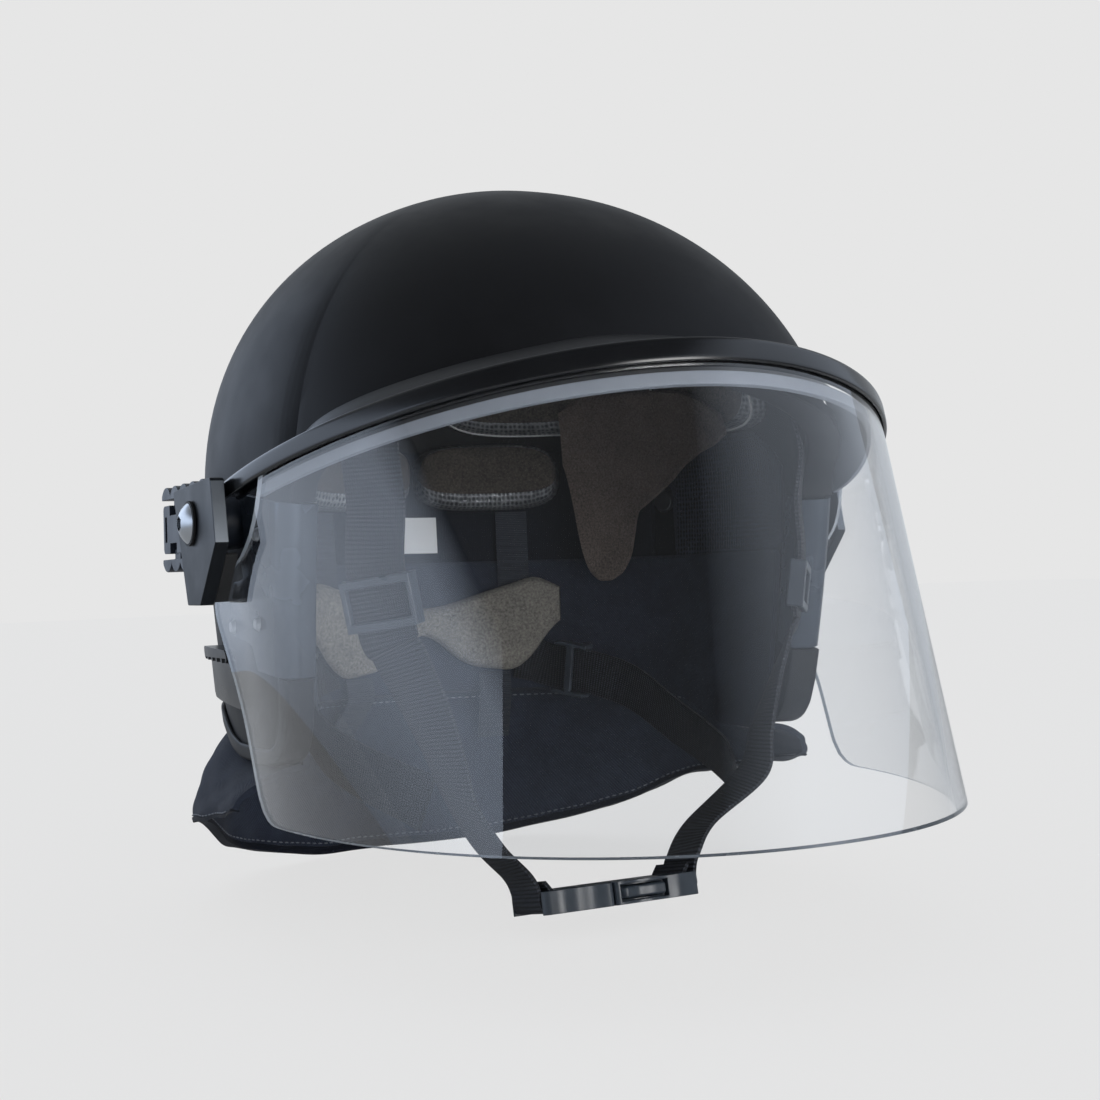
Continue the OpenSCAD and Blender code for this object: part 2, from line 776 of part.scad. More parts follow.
web_g = pad_g - web_t / 2;
nape_strap_g = nape_pad_g + 0.7 + web_t / 2;
strap_bearing = 50;
strap_y = 75;
strap_x = shell_half_w - 33.2;
slider_at = [strap_x - 1.3, -strap_y, -43];
slider_run = unit([0.174, 0, 0.985]);
slider_side = [0.67, 0.74, 0];
nape_at = wall(138.96, -80, nape_pad_g - 5.22);
nape_run = unit([0.46, -0.88, -0.14]);
plug_end = 37;
socket_end = 27;
buckle_z = -buckle_drop;

function tilted(v) =
    [v[0], v[1] * cos(buckle_tilt) + v[2] * sin(buckle_tilt), v[2] * cos(buckle_tilt) - v[1] * sin(buckle_tilt)];

// Loop of webbing round a buckle bar at x, as [x, z] in the buckle's own frame
function strap_tail(x) =
    [for (p = [[15, 21], [5.5, 10], [2.9, 4], [2.7, 0], [1.6, -2.2], [0, -2.8], [-1.8, -2],
               [-2.7, 0], [-2.1, 3.4], [0.4, 7]])
        [tilted([x + p[0], 0, p[1]]) + [0, -strap_y, buckle_z], tilted([0, 1, 0])]];

module front_strap(left) {
    bar = left ? socket_end - 3 : plug_end - 3;
    tangent = [cos(strap_bearing), sin(strap_bearing), 0];
    color("#25262b")
        sided(left)
            webbing(concat([
                [wall(strap_bearing, 24, web_g), tangent],
                [wall(strap_bearing, 9, web_g), tangent],
                [[strap_x, -strap_y, -10], [0.66, 0.75, 0]],
                [slider_at + 12 * slider_run, slider_side],
                [slider_at + 10.5 * slider_run, slider_side],
                [slider_at - 10.5 * slider_run, slider_side],
                [slider_at - 12 * slider_run, slider_side],
                [[strap_x - 7.3, -strap_y, -62], [0.6, 0.8, 0]],
                [[strap_x - 15.8, -strap_y, -80], [0.45, 0.89, 0]],
                [[strap_x - 22.8, -strap_y, -98], [0.25, 0.97, 0]],
                [[strap_x - 27.8, -strap_y, -113], [0.1, 1, 0]]
            ], strap_tail(bar)), web_w);
}

module rear_strap(left) {
    lean = wall(150, -66, nape_strap_g) - wall(150, -86, nape_strap_g);
    color("#25262b")
        sided(left)
            webbing([
                [wall(154, -74, nape_strap_g), lean],
                [wall(149, -76, nape_strap_g), lean],
                [nape_at - 11.5 * nape_run, [0, 0, 1]],
                [nape_at - 10.2 * nape_run, [0, 0, 1]],
                [nape_at + 10.2 * nape_run, [0, 0, 1]],
                [nape_at + 11.5 * nape_run, [0, 0, 1]],
                [[strap_x - 9.8, 42, -88], [0, 0.2, 1]],
                [[strap_x - 8.8, 10, -100], [0, 0.25, 1]],
                [[strap_x - 12.8, -20, -107], [0, 0.4, 1]],
                [[strap_x - 18.8, -44, -112], [0.1, 0.6, 0.8]],
                [[strap_x - 22.8, -57, -115], [0.1, 0.75, 0.66]]
            ], 20);
}

// Three-bar slide: the webbing lies behind the outer bars and in front of the middle one
module three_bar(w) {
    gap = web_t / 2 + 0.25;
    for (side = [-1, 1])
        translate([side * (w / 2 + 1.3) - 0.9, -gap - 2.2, -9])
            cube([1.8, 2 * gap + 4.4, 18]);
    for (z = [-9, 6])
        translate([-w / 2 - 1.3, -gap - 2.2, z])
            cube([w + 2.6, 2.2, 3]);
    translate([-w / 2 - 1.3, gap, -1.8])
        cube([w + 2.6, 2.2, 3.6]);
}

// Lays a slide on webbing that runs along run, with its width along side
module lie(at, run, side) {
    thick = unit(cross(run, side));
    across = cross(thick, run);
    multmatrix([for (i = [0:2]) [across[i], thick[i], run[i], at[i]]])
        children();
}

module strap_slider(left) {
    color("#1f2024")
        sided(left)
            lie(slider_at, slider_run, slider_side)
                three_bar(web_w);
}

module nape_slider(left) {
    color("#1f2024")
        sided(left)
            lie(nape_at, nape_run, [0, 0, 1])
                three_bar(20);
}

// Side-release buckle

mouth = -9;
arm_y = buckle_w / 2;
prong_root = mouth - 5;

module block_at(x1, x2, y1, y2, z1, z2) {
    translate([x1, y1, z1])
        cube([x2 - x1, y2 - y1, z2 - z1]);
}

module buckle_place() {
    translate([0, -strap_y, buckle_z])
        rotate([-buckle_tilt, 0, 0])
            children();
}

// Clears the webbing's way round a bar at x, whose open side faces out
module bar_cut(x, out) {
    half = web_w / 2 + 0.5;
    for (side = [-1, 1])
        translate([x, 0, side * 6.2])
            cube([7.8, 2 * half, 10], center = true);
    translate([x - out * 2.55, 0, 0])
        cube([2.7, 2 * half, 20], center = true);
    translate([x + out * 6.2, 0, 0])
        cube([10, 2 * half, 20], center = true);
}

module buckle_socket() {
    body_end = mouth + socket_len - 9;
    color("#17181a")
        buckle_place()
            difference() {
                linear_extrude(buckle_h, center = true)
                    polygon(rounded([
                        [mouth, -arm_y + 1, 1.5], [body_end, -arm_y + 2, 4], [socket_end, -arm_y + 3, 3],
                        [socket_end, arm_y - 3, 3], [body_end, arm_y - 2, 4], [mouth, arm_y - 1, 1.5]
                    ]));
                block_at(mouth - 1, body_end - 6, -arm_y + 3.4, arm_y - 3.4, -2.4, 2.4);
                for (side = [-1, 1])
                    translate([mouth + 12, side * (arm_y + 1), 0])
                        cube([20, 12, 6], center = true);
                bar_cut(socket_end - 3, 1);
            }
}

module buckle_plug() {
    color("#17181a")
        buckle_place() {
            difference() {
                linear_extrude(buckle_h, center = true)
                    polygon(rounded([
                        [-plug_end, -arm_y + 2, 3], [mouth - 0.4, -arm_y + 1, 2],
                        [mouth - 0.4, arm_y - 1, 2], [-plug_end, arm_y - 2, 3]
                    ]));
                bar_cut(-plug_end + 3, -1);
                for (side = [-1, 1])
                    block_at(prong_root, mouth + 1, side * 10 - 3.4, side * 10 + 3.4, -2.5, 2.5);
            }
            block_at(mouth - 1, mouth + 14, -3, 3, -2, 2);
        }
}

// Sprung arm of the plug, whose grip shows in the socket's side window
module buckle_prong(front) {
    flip = front ? -1 : 1;
    color("#1d1e21")
        buckle_place()
            mirror([0, front ? 0 : 1, 0])
                linear_extrude(4.2, center = true)
                    polygon([
                        [prong_root + 0.4, -8.2], [prong_root + 0.4, -11.4], [mouth + 1, -11.4],
                        [mouth + 2.6, -12.6], [mouth + 4.6, -15], [mouth + 8, -14.4],
                        [mouth + 12, -13.6], [mouth + 16, -14.4], [mouth + 20.6, -15.2],
                        [mouth + 20.6, -10.6], [mouth + 14, -9.6], [mouth + 4, -8.8]
                    ]);
}

// Neck curtain

curtain_cols = 44;

// Front end of the curtain beside the ear, as a bearing, at share s of the way down
function curtain_end(s) = mix(71, 80, s);

function hem_z(a) =
    let (d = hem_nape - hem_side)
    -look([[0, hem_nape], [20, hem_nape - 0.02 * d], [36, hem_nape - 0.16 * d],
           [50, hem_nape - 0.33 * d], [63, hem_nape - 0.6 * d], [85, hem_nape - 0.76 * d],
           [114, hem_side]], abs(180 - a));

// Shares of the way down for the rows of the cloth. It hangs inside the shell down to share 0.25.
curtain_shares = [0, 0.12, 0.25, 0.28, 0.34, 0.44, 0.58, 0.78, 0.97];

// Point at share e round the curtain and share s down it, g outside its middle
function curtain(e, s, g) =
    let (end = curtain_end(s), a = mix(end, 360 - end, e),
         edge = edge_z(180 - abs(a - 180)) - trim_foot - cloth_t / 2 - 0.8,
         below = max(0, (s - 0.25) / 0.75),
         z = s < 0.25 ? mix(-curtain_top, edge, s / 0.25) : mix(edge, hem_z(a), below),
         tight = -shell_t - trim_t - cloth_t / 2 - 1.2,
         out = hem_flare * mix(0.6, 1, min(1, (abs(a - 180) < 100 ? 1 : (114 - abs(a - 180)) / 14))),
         fold = 1.8 * sin(11 * (a - 180)) * below,
         g0 = mix(tight, out, pow(below, 0.4)) - 4 * pow(below, 5) + fold)
    [reach(a, max(z, -ear_drop), g0 + g) * sin(a), -reach(a, max(z, -ear_drop), g0 + g) * cos(a), z];

module neck_curtain() {
    color("#1f2433")
        skin([for (i = [0:curtain_cols])
            let (e = i / curtain_cols, last = len(curtain_shares) - 1)
            concat([for (k = [0:last]) curtain(e, curtain_shares[k], -cloth_t / 2)],
                   [for (k = [last:-1:0]) curtain(e, curtain_shares[k], cloth_t / 2)])]);
}

module curtain_hem() {
    color("#171b28")
        skin([for (i = [0:curtain_cols])
            let (e = i / curtain_cols, g = cloth_t / 2 + 0.6)
            [curtain(e, 0.972, -g), curtain(e, 1, -g), curtain(e, 1, g), curtain(e, 0.972, g)]]);
}

// Face shield

// Point of the sheet at station u, from -1 to 1 round the bow and beyond it on the straight sides,
// at share v of the way down, and g outside its middle
function bow(u, w, from, to, power) =
    let (t = max(-1, min(1, u)) * 90, past = max(0, abs(u) - 1))
    [w * sign(t) * pow(abs(sin(t)), 2 / power),
     -mix(from, to, pow(abs(cos(t)), 2 / power)) + past * 60];

function sheet(u, v, g) =
    let (top = bow(u, sheet_half_w + g, bow_top, sheet_front + g, bow_power_top),
         foot = bow(u, sheet_half_w - tuck + g, bow_foot, sheet_front + flare + g, bow_power_foot),
         rise = lip_rise * pow(max(0, (-top[1] - bow_top) / (sheet_front - bow_top)), 1.21))
    mix([top[0], top[1], lip_end_z + rise], [foot[0], foot[1], sheet_bottom], v);

sheet_stations = concat([-1.75, -1.35], [for (i = [-22:22]) i / 22], [1.35, 1.75]);

module sheet_body(inner, outer, rows = 4) {
    skin([for (u = sheet_stations)
        concat([for (k = [0:rows]) sheet(u, k / rows, inner)],
               [for (k = [rows:-1:0]) sheet(u, k / rows, outer)])]);
}

// Side view of the sheet, with the notch round the pivot and its rounded lower corners
module sheet_outline() {
    polygon(rounded([
        [-through, 80, 0],
        [-pivot_y - 44, 80, 0],
        [-pivot_y - 44, -3, 10],
        [-pivot_y - 34, -23, 12],
        [-pivot_y + 12, -41, 4],
        [-36, -78, 40],
        [-52, sheet_bottom, 14],
        [-through, sheet_bottom, 0]
    ]));
}

module visor_sheet() {
    color([0.75, 0.82, 0.88, 0.35])
        intersection() {
            sheet_body(-sheet_t / 2, sheet_t / 2);
            across() sheet_outline();
        }
}

// Lip channel that grips the top of the sheet, with p as [g outside it, height above its edge]
function lip_point(u, p) = sheet(u, -p[1] / sheet_drop, p[0]);

module visor_lip() {
    slot = sheet_t / 2 + 0.05;
    w = lip_w / 2;
    high = lip_h / 2;
    section = [[-w, -high], [-w, high - 1.5], [-w + 1.5, high], [w - 1.5, high], [w, high - 1.5],
               [w, -high], [slot, -high], [slot, 0.05], [0.7, 0.05], [-0.7, 0.05], [-slot, 0.05],
               [-slot, -high]];
    u_end = 1.05;
    color("#141415") {
        skin([for (i = [22:-1:-22]) [for (p = section) lip_point(i / 22 * (abs(i) == 22 ? u_end : 1), p)]]);
        for (side = [-1, 1])
            sided(side > 0)
                slab(sheet_half_w + slot + 0.3, plate_x - 0.05)
                    polygon([[-pivot_y - 29, lip_end_z - 2], [-pivot_y - 18, lip_end_z - 2],
                             [-pivot_y - 18, lip_end_z + 2.4], [-pivot_y - 29, lip_end_z + 2.4]]);
    }
}

module plate_outline() {
    polygon(rounded([
        [-pivot_y + 25, -pivot_drop + 13, 1.5],
        [-pivot_y - 26, -pivot_drop + 15, 1.5],
        [-pivot_y - 31, -pivot_drop - 8, 1.5],
        [-pivot_y - 10, -pivot_drop - 29.5, 1],
        [-pivot_y + 7, -pivot_drop - 29.5, 1]
    ], 3));
}

module visor_bracket(left) {
    color("#232427")
        sided(left)
            difference() {
                slab(plate_x, plate_x + plate_t)
                    plate_outline();
                translate([0, pivot[0], pivot[1]])
                    rotate([0, 90, 0])
                        cylinder(r = bush_r + bush_fit, h = through);
            }
}

// Straight side of the sheet and everything inside it
module pad_back() {
    skin([for (u = [0.9, 0.95, 1, 1.35, 1.75])
        concat([for (k = [0:4]) sheet(u, k / 4, -20)],
               [for (k = [4:-1:0]) sheet(u, k / 4, sheet_t / 2 + 0.02)])]);
}

// Packing between the lower limb of each plate and the sheet
module bracket_pads() {
    color("#101011")
        for (left = [false, true])
            sided(left)
                difference() {
                    slab(plate_x - 8, plate_x - 0.02)
                        polygon(rounded([
                            [-pivot_y - 29, -pivot_drop - 9.5, 1],
                            [-pivot_y - 10.5, -pivot_drop - 28.5, 1],
                            [-pivot_y + 6, -pivot_drop - 28.5, 1],
                            [-pivot_y - 18, -pivot_drop - 14, 4]
                        ], 3));
                    pad_back();
                }
}

shell();
rim_trim();
brow_gasket();
ear_clamp(false);  // ear_clamp_right
ear_clamp(true);  // ear_clamp_left
clamp_rivets();
latch_block(false);  // latch_block_right
latch_block(true);  // latch_block_left
latch_tab(false, true);  // latch_tab_upper_right
latch_tab(true, true);  // latch_tab_upper_left
latch_tab(false, false);  // latch_tab_lower_right
latch_tab(true, false);  // latch_tab_lower_left
pivot_bush(false);  // pivot_bush_right
pivot_bush(true);  // pivot_bush_left
pivot_screw(false);  // pivot_screw_right
pivot_screw(true);  // pivot_screw_left
pivot_washers();
pivot_nuts();
rim_clip(false);  // rim_clip_right
rim_clip(true);  // rim_clip_left
liner_band();
side_linings();
crown_pad();
front_pad();
side_pads();
upper_rear_pads();
rear_pads();
temple_leather(false);  // temple_leather_right
temple_leather(true);  // temple_leather_left
nape_pad();
nape_elastics();
liner_label();
shell_bolts();
front_strap(false);  // front_strap_right
front_strap(true);  // front_strap_left
rear_strap(false);  // rear_strap_right
rear_strap(true);  // rear_strap_left
strap_slider(false);  // strap_slider_right
strap_slider(true);  // strap_slider_left
nape_slider(false);  // nape_slider_right
nape_slider(true);  // nape_slider_left
buckle_socket();
buckle_plug();
buckle_prong(true);  // buckle_prong_front
buckle_prong(false);  // buckle_prong_rear
neck_curtain();
curtain_hem();
visor_sheet();
visor_lip();
visor_bracket(false);  // visor_bracket_right
visor_bracket(true);  // visor_bracket_left
bracket_pads();
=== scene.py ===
# %% [markdown]
# # A riot helmet with a clear face shield
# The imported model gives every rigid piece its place, in metres. This lesson dresses it. Smooth skins
# are worked out with numpy, moulded parts are bevelled copies, and each finish is a small node tree.

# %% Load the frame
import json

import bmesh
import bpy
import numpy as np
from mathutils import Matrix, Vector


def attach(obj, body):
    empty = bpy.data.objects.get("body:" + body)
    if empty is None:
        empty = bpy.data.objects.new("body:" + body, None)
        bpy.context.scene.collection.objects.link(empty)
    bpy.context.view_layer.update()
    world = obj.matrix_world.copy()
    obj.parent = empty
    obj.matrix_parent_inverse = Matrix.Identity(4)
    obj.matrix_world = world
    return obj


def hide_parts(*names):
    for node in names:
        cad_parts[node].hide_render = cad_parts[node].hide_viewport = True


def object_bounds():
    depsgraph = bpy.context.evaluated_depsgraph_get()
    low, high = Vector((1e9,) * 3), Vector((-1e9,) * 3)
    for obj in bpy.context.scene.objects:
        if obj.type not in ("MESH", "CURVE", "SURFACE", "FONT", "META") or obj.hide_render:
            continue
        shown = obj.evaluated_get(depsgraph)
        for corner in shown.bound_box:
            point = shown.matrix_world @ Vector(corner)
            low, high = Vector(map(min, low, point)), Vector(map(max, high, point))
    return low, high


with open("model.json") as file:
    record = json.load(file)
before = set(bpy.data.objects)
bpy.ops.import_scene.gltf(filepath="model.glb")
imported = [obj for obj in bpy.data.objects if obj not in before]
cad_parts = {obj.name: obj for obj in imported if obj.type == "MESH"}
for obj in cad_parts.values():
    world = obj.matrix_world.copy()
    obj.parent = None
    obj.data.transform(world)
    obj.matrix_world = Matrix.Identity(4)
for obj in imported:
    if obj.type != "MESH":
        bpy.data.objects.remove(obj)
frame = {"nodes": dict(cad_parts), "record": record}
cad_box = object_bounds()
MM = 0.001
body_of_node = {n: b for b, names in frame["record"]["behaviour"]["bodies"].items() for n in names}

# %% [markdown]
# ## Camera, stage and light
# The camera has a normal lens and stands just below the widest ring of the helmet. It is set from its
# place, its line of sight and its roll. Floor and air are pale grey, and two glowing screens give the
# broad soft reflections that show paint and clear plastic.

# %% Small helpers
def linear(hex_colour):
    """An sRGB hex colour as the linear red, green, blue and alpha that a shader takes."""
    c = np.array([int(hex_colour[i:i + 2], 16) for i in (1, 3, 5)]) / 255
    return (*[float(x) for x in np.where(c <= 0.04045, c / 12.92, ((c + 0.055) / 1.055) ** 2.4)], 1.0)


def add(tree, kind, sockets=None, **settings):
    """One shader node: settings are its own fields, and each socket gets a value, or a link from another
    socket or from the first output of a node."""
    node = tree.nodes.new("ShaderNode" + kind)
    for name, value in settings.items():
        setattr(node, name, value)
    for name, value in (sockets or {}).items():
        value = value.outputs[0] if isinstance(value, bpy.types.Node) else value
        if isinstance(value, bpy.types.NodeSocket):
            tree.links.new(value, node.inputs[name])
        else:
            node.inputs[name].default_value = value
    return node


def mix(a, b, t):
    """The value at share t from a to b."""
    return a + (b - a) * t


def blank_tree(owner):
    """The emptied node tree of a material or of the world."""
    owner.use_nodes = True
    owner.node_tree.nodes.clear()
    return owner.node_tree


scene = bpy.context.scene


def in_scene(name, data):
    """A new object that shows some data, linked to the scene."""
    thing = bpy.data.objects.new(name, data)
    scene.collection.objects.link(thing)
    return thing


# %% Camera
CAMERA_AT = np.array([-286.6, -575.7, -34.5]) * MM
AZIMUTH, ELEVATION, ROLL = np.radians([-26.46, -3.07, -1.96])
PICTURE, FILM = 1100, 36
LENS_SHARE = 1568.75 / PICTURE
AIM_X, AIM_Y = 511.64 / PICTURE, 489.61 / PICTURE

back = Vector((np.sin(AZIMUTH) * np.cos(ELEVATION), -np.cos(AZIMUTH) * np.cos(ELEVATION), np.sin(ELEVATION)))
level = Vector((np.cos(AZIMUTH), np.sin(AZIMUTH), 0.0))
above = back.cross(level)
right = level * np.cos(ROLL) + above * np.sin(ROLL)
upward = above * np.cos(ROLL) - level * np.sin(ROLL)
lens = bpy.data.cameras.new("camera")
lens.sensor_width = FILM
lens.lens = LENS_SHARE * FILM
lens.shift_x = 0.5 - AIM_X
lens.shift_y = AIM_Y - 0.5
camera = in_scene("camera", lens)
camera.matrix_world = Matrix((right, upward, back)).transposed().to_4x4()
camera.location = CAMERA_AT
scene.camera = camera
scene.view_settings.view_transform = "Standard"
print("lens", round(lens.lens, 2), "mm")

# %% Floor, air and lamps
PALE = "#E6E6E6"
world = bpy.data.worlds.new("air")
scene.world = world
tree = blank_tree(world)
path = add(tree, "LightPath")
seen = add(tree, "Math", {0: path.outputs["Is Camera Ray"], 1: path.outputs["Is Transmission Ray"]},
           operation="MAXIMUM")
place = add(tree, "TexCoord")
parts = add(tree, "SeparateXYZ", {0: place.outputs["Generated"]})
depth = add(tree, "MapRange", {"Value": parts.outputs["Y"], "From Min": -0.3, "From Max": 0.9,
                               "To Min": 0.12, "To Max": 1.0})
lit = add(tree, "Background", {"Color": linear("#E3E7EC"), "Strength": 0.85})
mirrored = add(tree, "Background", {"Color": linear("#DDE3EA"), "Strength": depth})
shown = add(tree, "Background", {"Color": linear(PALE), "Strength": 1.0})
mixed = add(tree, "MixShader", {0: path.outputs["Is Glossy Ray"], 1: lit, 2: mirrored})
mixed = add(tree, "MixShader", {0: seen, 1: mixed, 2: shown})
# A ray that bounces inside the clear sheet and leaves it again is a reflection too.
bounced = add(tree, "Math", {0: path.outputs["Glossy Depth"], 1: path.outputs["Is Transmission Ray"]},
              operation="MULTIPLY", use_clamp=True)
mixed = add(tree, "MixShader", {0: bounced, 1: mixed, 2: mirrored})
add(tree, "OutputWorld", {0: mixed})

FLOOR_GAP, FLOOR_HALF = 0.5 * MM, 6
floor_z = cad_box[0][2] - FLOOR_GAP
floor_mesh = bpy.data.meshes.new("floor")
floor_corners = [(FLOOR_HALF * x, FLOOR_HALF * y, floor_z) for x, y in ((-1, -1), (1, -1), (1, 1), (-1, 1))]
floor_mesh.from_pydata(floor_corners, [], [(0, 1, 2, 3)])
floor = in_scene("floor", floor_mesh)
paper = bpy.data.materials.new("pale_paper")
tree = blank_tree(paper)
path = add(tree, "LightPath")
matt = add(tree, "BsdfDiffuse", {"Color": linear("#E8E8E8")})
glow = add(tree, "Emission", {"Color": linear(PALE), "Strength": 1.03})
blend = add(tree, "MixShader", {0: 0.86, 1: matt, 2: glow})
direct = add(tree, "Math", {0: path.outputs["Glossy Depth"], 1: 0.5}, operation="LESS_THAN")
through = add(tree, "Math", {0: path.outputs["Is Transmission Ray"], 1: direct}, operation="MULTIPLY")
seen = add(tree, "Math", {0: path.outputs["Is Camera Ray"], 1: through}, operation="MAXIMUM")
blend = add(tree, "MixShader", {0: seen, 1: matt, 2: blend})
add(tree, "OutputMaterial", {0: blend})
floor_mesh.materials.append(paper)


def card(name, corners, radius, tint, across, up):
    """A glowing part of a sphere round the helmet, seen only in reflections. Its corners are (bearing,
    elevation) in degrees, from the lower left round to the upper left. Its glow is the product of a line
    of (share, strength) across it and one up it."""
    rows, columns = 25, 33
    u, v = np.meshgrid(np.linspace(0, 1, columns), np.linspace(0, 1, rows))
    p = np.radians(corners)[:, :, None, None]
    a, e = mix(mix(p[0], p[1], u), mix(p[3], p[2], u), v)
    points = radius * np.stack([np.cos(e) * np.sin(a), -np.cos(e) * np.cos(a), np.sin(e)], -1).reshape(-1, 3)
    i = (np.arange(rows - 1)[:, None] * columns + np.arange(columns - 1)).ravel()
    mesh = bpy.data.meshes.new(name)
    mesh.from_pydata(points.tolist(), [], np.stack([i, i + 1, i + columns + 1, i + columns], 1).tolist())
    glow = np.interp(u, *np.array(across).T) * np.interp(v, *np.array(up).T)
    mesh.attributes.new("glow", "FLOAT", "POINT").data.foreach_set("value", glow.ravel())
    screen = in_scene(name, mesh)
    screen.visible_camera = screen.visible_transmission = screen.visible_diffuse = False
    lit = bpy.data.materials.new(name)
    tree = blank_tree(lit)
    level = add(tree, "Attribute", attribute_name="glow")
    light = add(tree, "Emission", {"Color": linear(tint), "Strength": level.outputs["Fac"]})
    add(tree, "OutputMaterial", {0: light})
    mesh.materials.append(lit)


card("soft_box", [(-165, -8), (-73, -8), (-55, 15), (-165, 53)], 1.1, "#CFDDF2",
     [(0, 1), (1, 1)], [(0, 1.0), (0.35, 2.7), (0.75, 2.7), (1, 0)])
card("window", [(-6, 10), (100, 5), (100, 50), (38, 50)], 2.5, "#D5E0F0",
     [(0, 0.2), (0.3, 1.5), (1, 1.2)], [(0, 1), (1, 1)])
fill = bpy.data.lights.new("fill", "AREA")
fill.shape, fill.size, fill.energy = "SQUARE", 0.6, 11
box = in_scene("fill", fill)
box.location = (0.25, -1.5, -0.02)
box.rotation_euler = (Vector((0, 0, -0.05)) - box.location).to_track_quat("-Z", "Y").to_euler()
print("floor at", round(floor_z, 4))

# %% [markdown]
# ## Turning grids of points into skins
# Every smooth piece is a grid of points. One function makes its faces, writes each point's distance
# along the cloth or rubber into a UV map in millimetres, and closes seams and poles.

# %% Grid to mesh
def link(name, mesh, finish, *replaced, body="helmet"):
    """Puts a finished mesh into the scene on its CAD body, in the place of the named nodes."""
    piece = in_scene(name, mesh)
    for f in (finish if isinstance(finish, (list, tuple)) else [finish]):
        mesh.materials.append(f)
    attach(piece, body)
    if replaced:
        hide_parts(*replaced)
    print(name, len(mesh.polygons), "faces")
    return piece


def smooth_mesh(name, grids, sharp=35.0, wrap_rows=True, wrap_cols=False, caps=True, by_row=None):
    """Joins grids of points in mm into one mesh. Rows and columns may wrap round, and caps close the first
    and the last column. Each row of faces has its finish, and a cap has the last one."""
    points, quads, uvs, slots, polys = [], [], [], [], []
    base = 0
    for grid in grids:
        r, c = grid.shape[:2]
        across, rows = np.meshgrid(np.arange(c if wrap_cols else c - 1), np.arange(r if wrap_rows else r - 1))
        i, j = rows.ravel(), across.ravel()
        i2, j2 = (i + 1) % r, (j + 1) % c
        down = np.linalg.norm(np.roll(grid, -1, 0) - grid, axis=2).mean(1)
        over = np.linalg.norm(np.roll(grid, -1, 1) - grid, axis=2).mean(0)
        v = np.concatenate([[0], np.cumsum(down)])
        u = np.concatenate([[0], np.cumsum(over)])
        quads.append(np.stack([i * c + j, i * c + j2, i2 * c + j2, i2 * c + j], 1) + base)
        turns = ((j, i), (j + 1, i), (j + 1, i + 1), (j, i + 1))
        uvs.append(np.stack([np.stack([u[x], v[y]], 1) for x, y in turns], 1).reshape(-1, 2))
        slots.append(np.zeros(len(i), int) if by_row is None else np.asarray(by_row)[i])
        if caps:
            for col in (0, c - 1):
                polys.append((np.arange(r) * c + col + base)[::1 if col else -1])
        points.append(grid.reshape(-1, 3))
        base += r * c
    quads = np.concatenate(quads)
    mesh = bpy.data.meshes.new(name)
    mesh.from_pydata(np.concatenate(points) * MM, [], quads.tolist() + [p.tolist() for p in polys])
    uv = mesh.uv_layers.new(name="cloth_mm")
    flat = np.zeros((len(mesh.loops), 2))
    flat[:len(quads) * 4] = np.concatenate(uvs)
    uv.data.foreach_set("uv", flat.ravel())
    index = np.full(len(mesh.polygons), slots[-1][-1], np.int32)
    index[:len(quads)] = np.concatenate(slots)
    mesh.polygons.foreach_set("material_index", index)
    bm = bmesh.new()
    bm.from_mesh(mesh)
    bmesh.ops.remove_doubles(bm, verts=bm.verts, dist=1e-6)
    bmesh.ops.dissolve_degenerate(bm, edges=bm.edges, dist=1e-7)
    bmesh.ops.recalc_face_normals(bm, faces=bm.faces)
    soften(bm, sharp)
    bm.to_mesh(mesh)
    bm.free()
    return mesh


def soften(bm, sharp):
    """Shades all faces smooth, apart from edges that turn by more than the given degrees."""
    limit = float(np.radians(sharp))
    for f in bm.faces:
        f.smooth = True
    for e in bm.edges:
        e.smooth = len(e.link_faces) == 2 and e.calc_face_angle(0.0) < limit


def loft(name, grids, finish, *replaced, body="helmet", **closing):
    """A closed piece made of grids whose rows go round its section."""
    return link(name, smooth_mesh(name, grids, **closing), finish, *replaced, body=body)


def unit(v):
    """Vectors along the last axis, brought to length 1."""
    v = np.asarray(v, float)
    return v / np.maximum(np.linalg.norm(v, axis=-1, keepdims=True), 1e-9)


def normals(grid):
    """Unit normals of a grid, from the cross product of its two directions."""
    return unit(np.cross(np.gradient(grid, axis=1), np.gradient(grid, axis=0)))


def thicken(grid, thick):
    """A ring of rows: the face half a thickness out along its normals, then the back as far in. The
    first and last rows are drawn in a little, so that the cut edges look pressed or folded."""
    n, edge = normals(grid), 0.35
    front, rear = grid + n * (thick / 2), grid - n * (thick / 2)
    middle = (front + rear) / 2
    start = middle[:1] + (grid[:1] - grid[1:2]) * edge
    end = middle[-1:] + (grid[-1:] - grid[-2:-1]) * edge
    return np.concatenate([start, front, end, rear[::-1]])


def bevel(piece, mm, angle=35.0, segments=2):
    """Rounds the sharp edges of a piece, as a mould or a file does."""
    m = piece.modifiers.new("edges", "BEVEL")
    m.width, m.segments, m.limit_method, m.angle_limit = mm * MM, segments, "ANGLE", np.radians(angle)
    m.harden_normals = True
    m.use_clamp_overlap = True


def dress(node, finish, mm, angle=35.0, shape=None):
    """A bevelled copy of a CAD node in its place, merged and with its flat faces whole. A shape function
    may change the copy first."""
    bm = bmesh.new()
    bm.from_mesh(frame["nodes"][node].data)
    bmesh.ops.remove_doubles(bm, verts=bm.verts, dist=2e-6)
    bmesh.ops.dissolve_limit(bm, angle_limit=np.radians(0.6), verts=bm.verts, edges=bm.edges)
    if shape:
        shape(bm)
    soften(bm, angle)
    mesh = bpy.data.meshes.new("made_" + node)
    bm.to_mesh(mesh)
    bm.free()
    bevel(link("made_" + node, mesh, finish, node, body=body_of_node[node]), mm, angle)


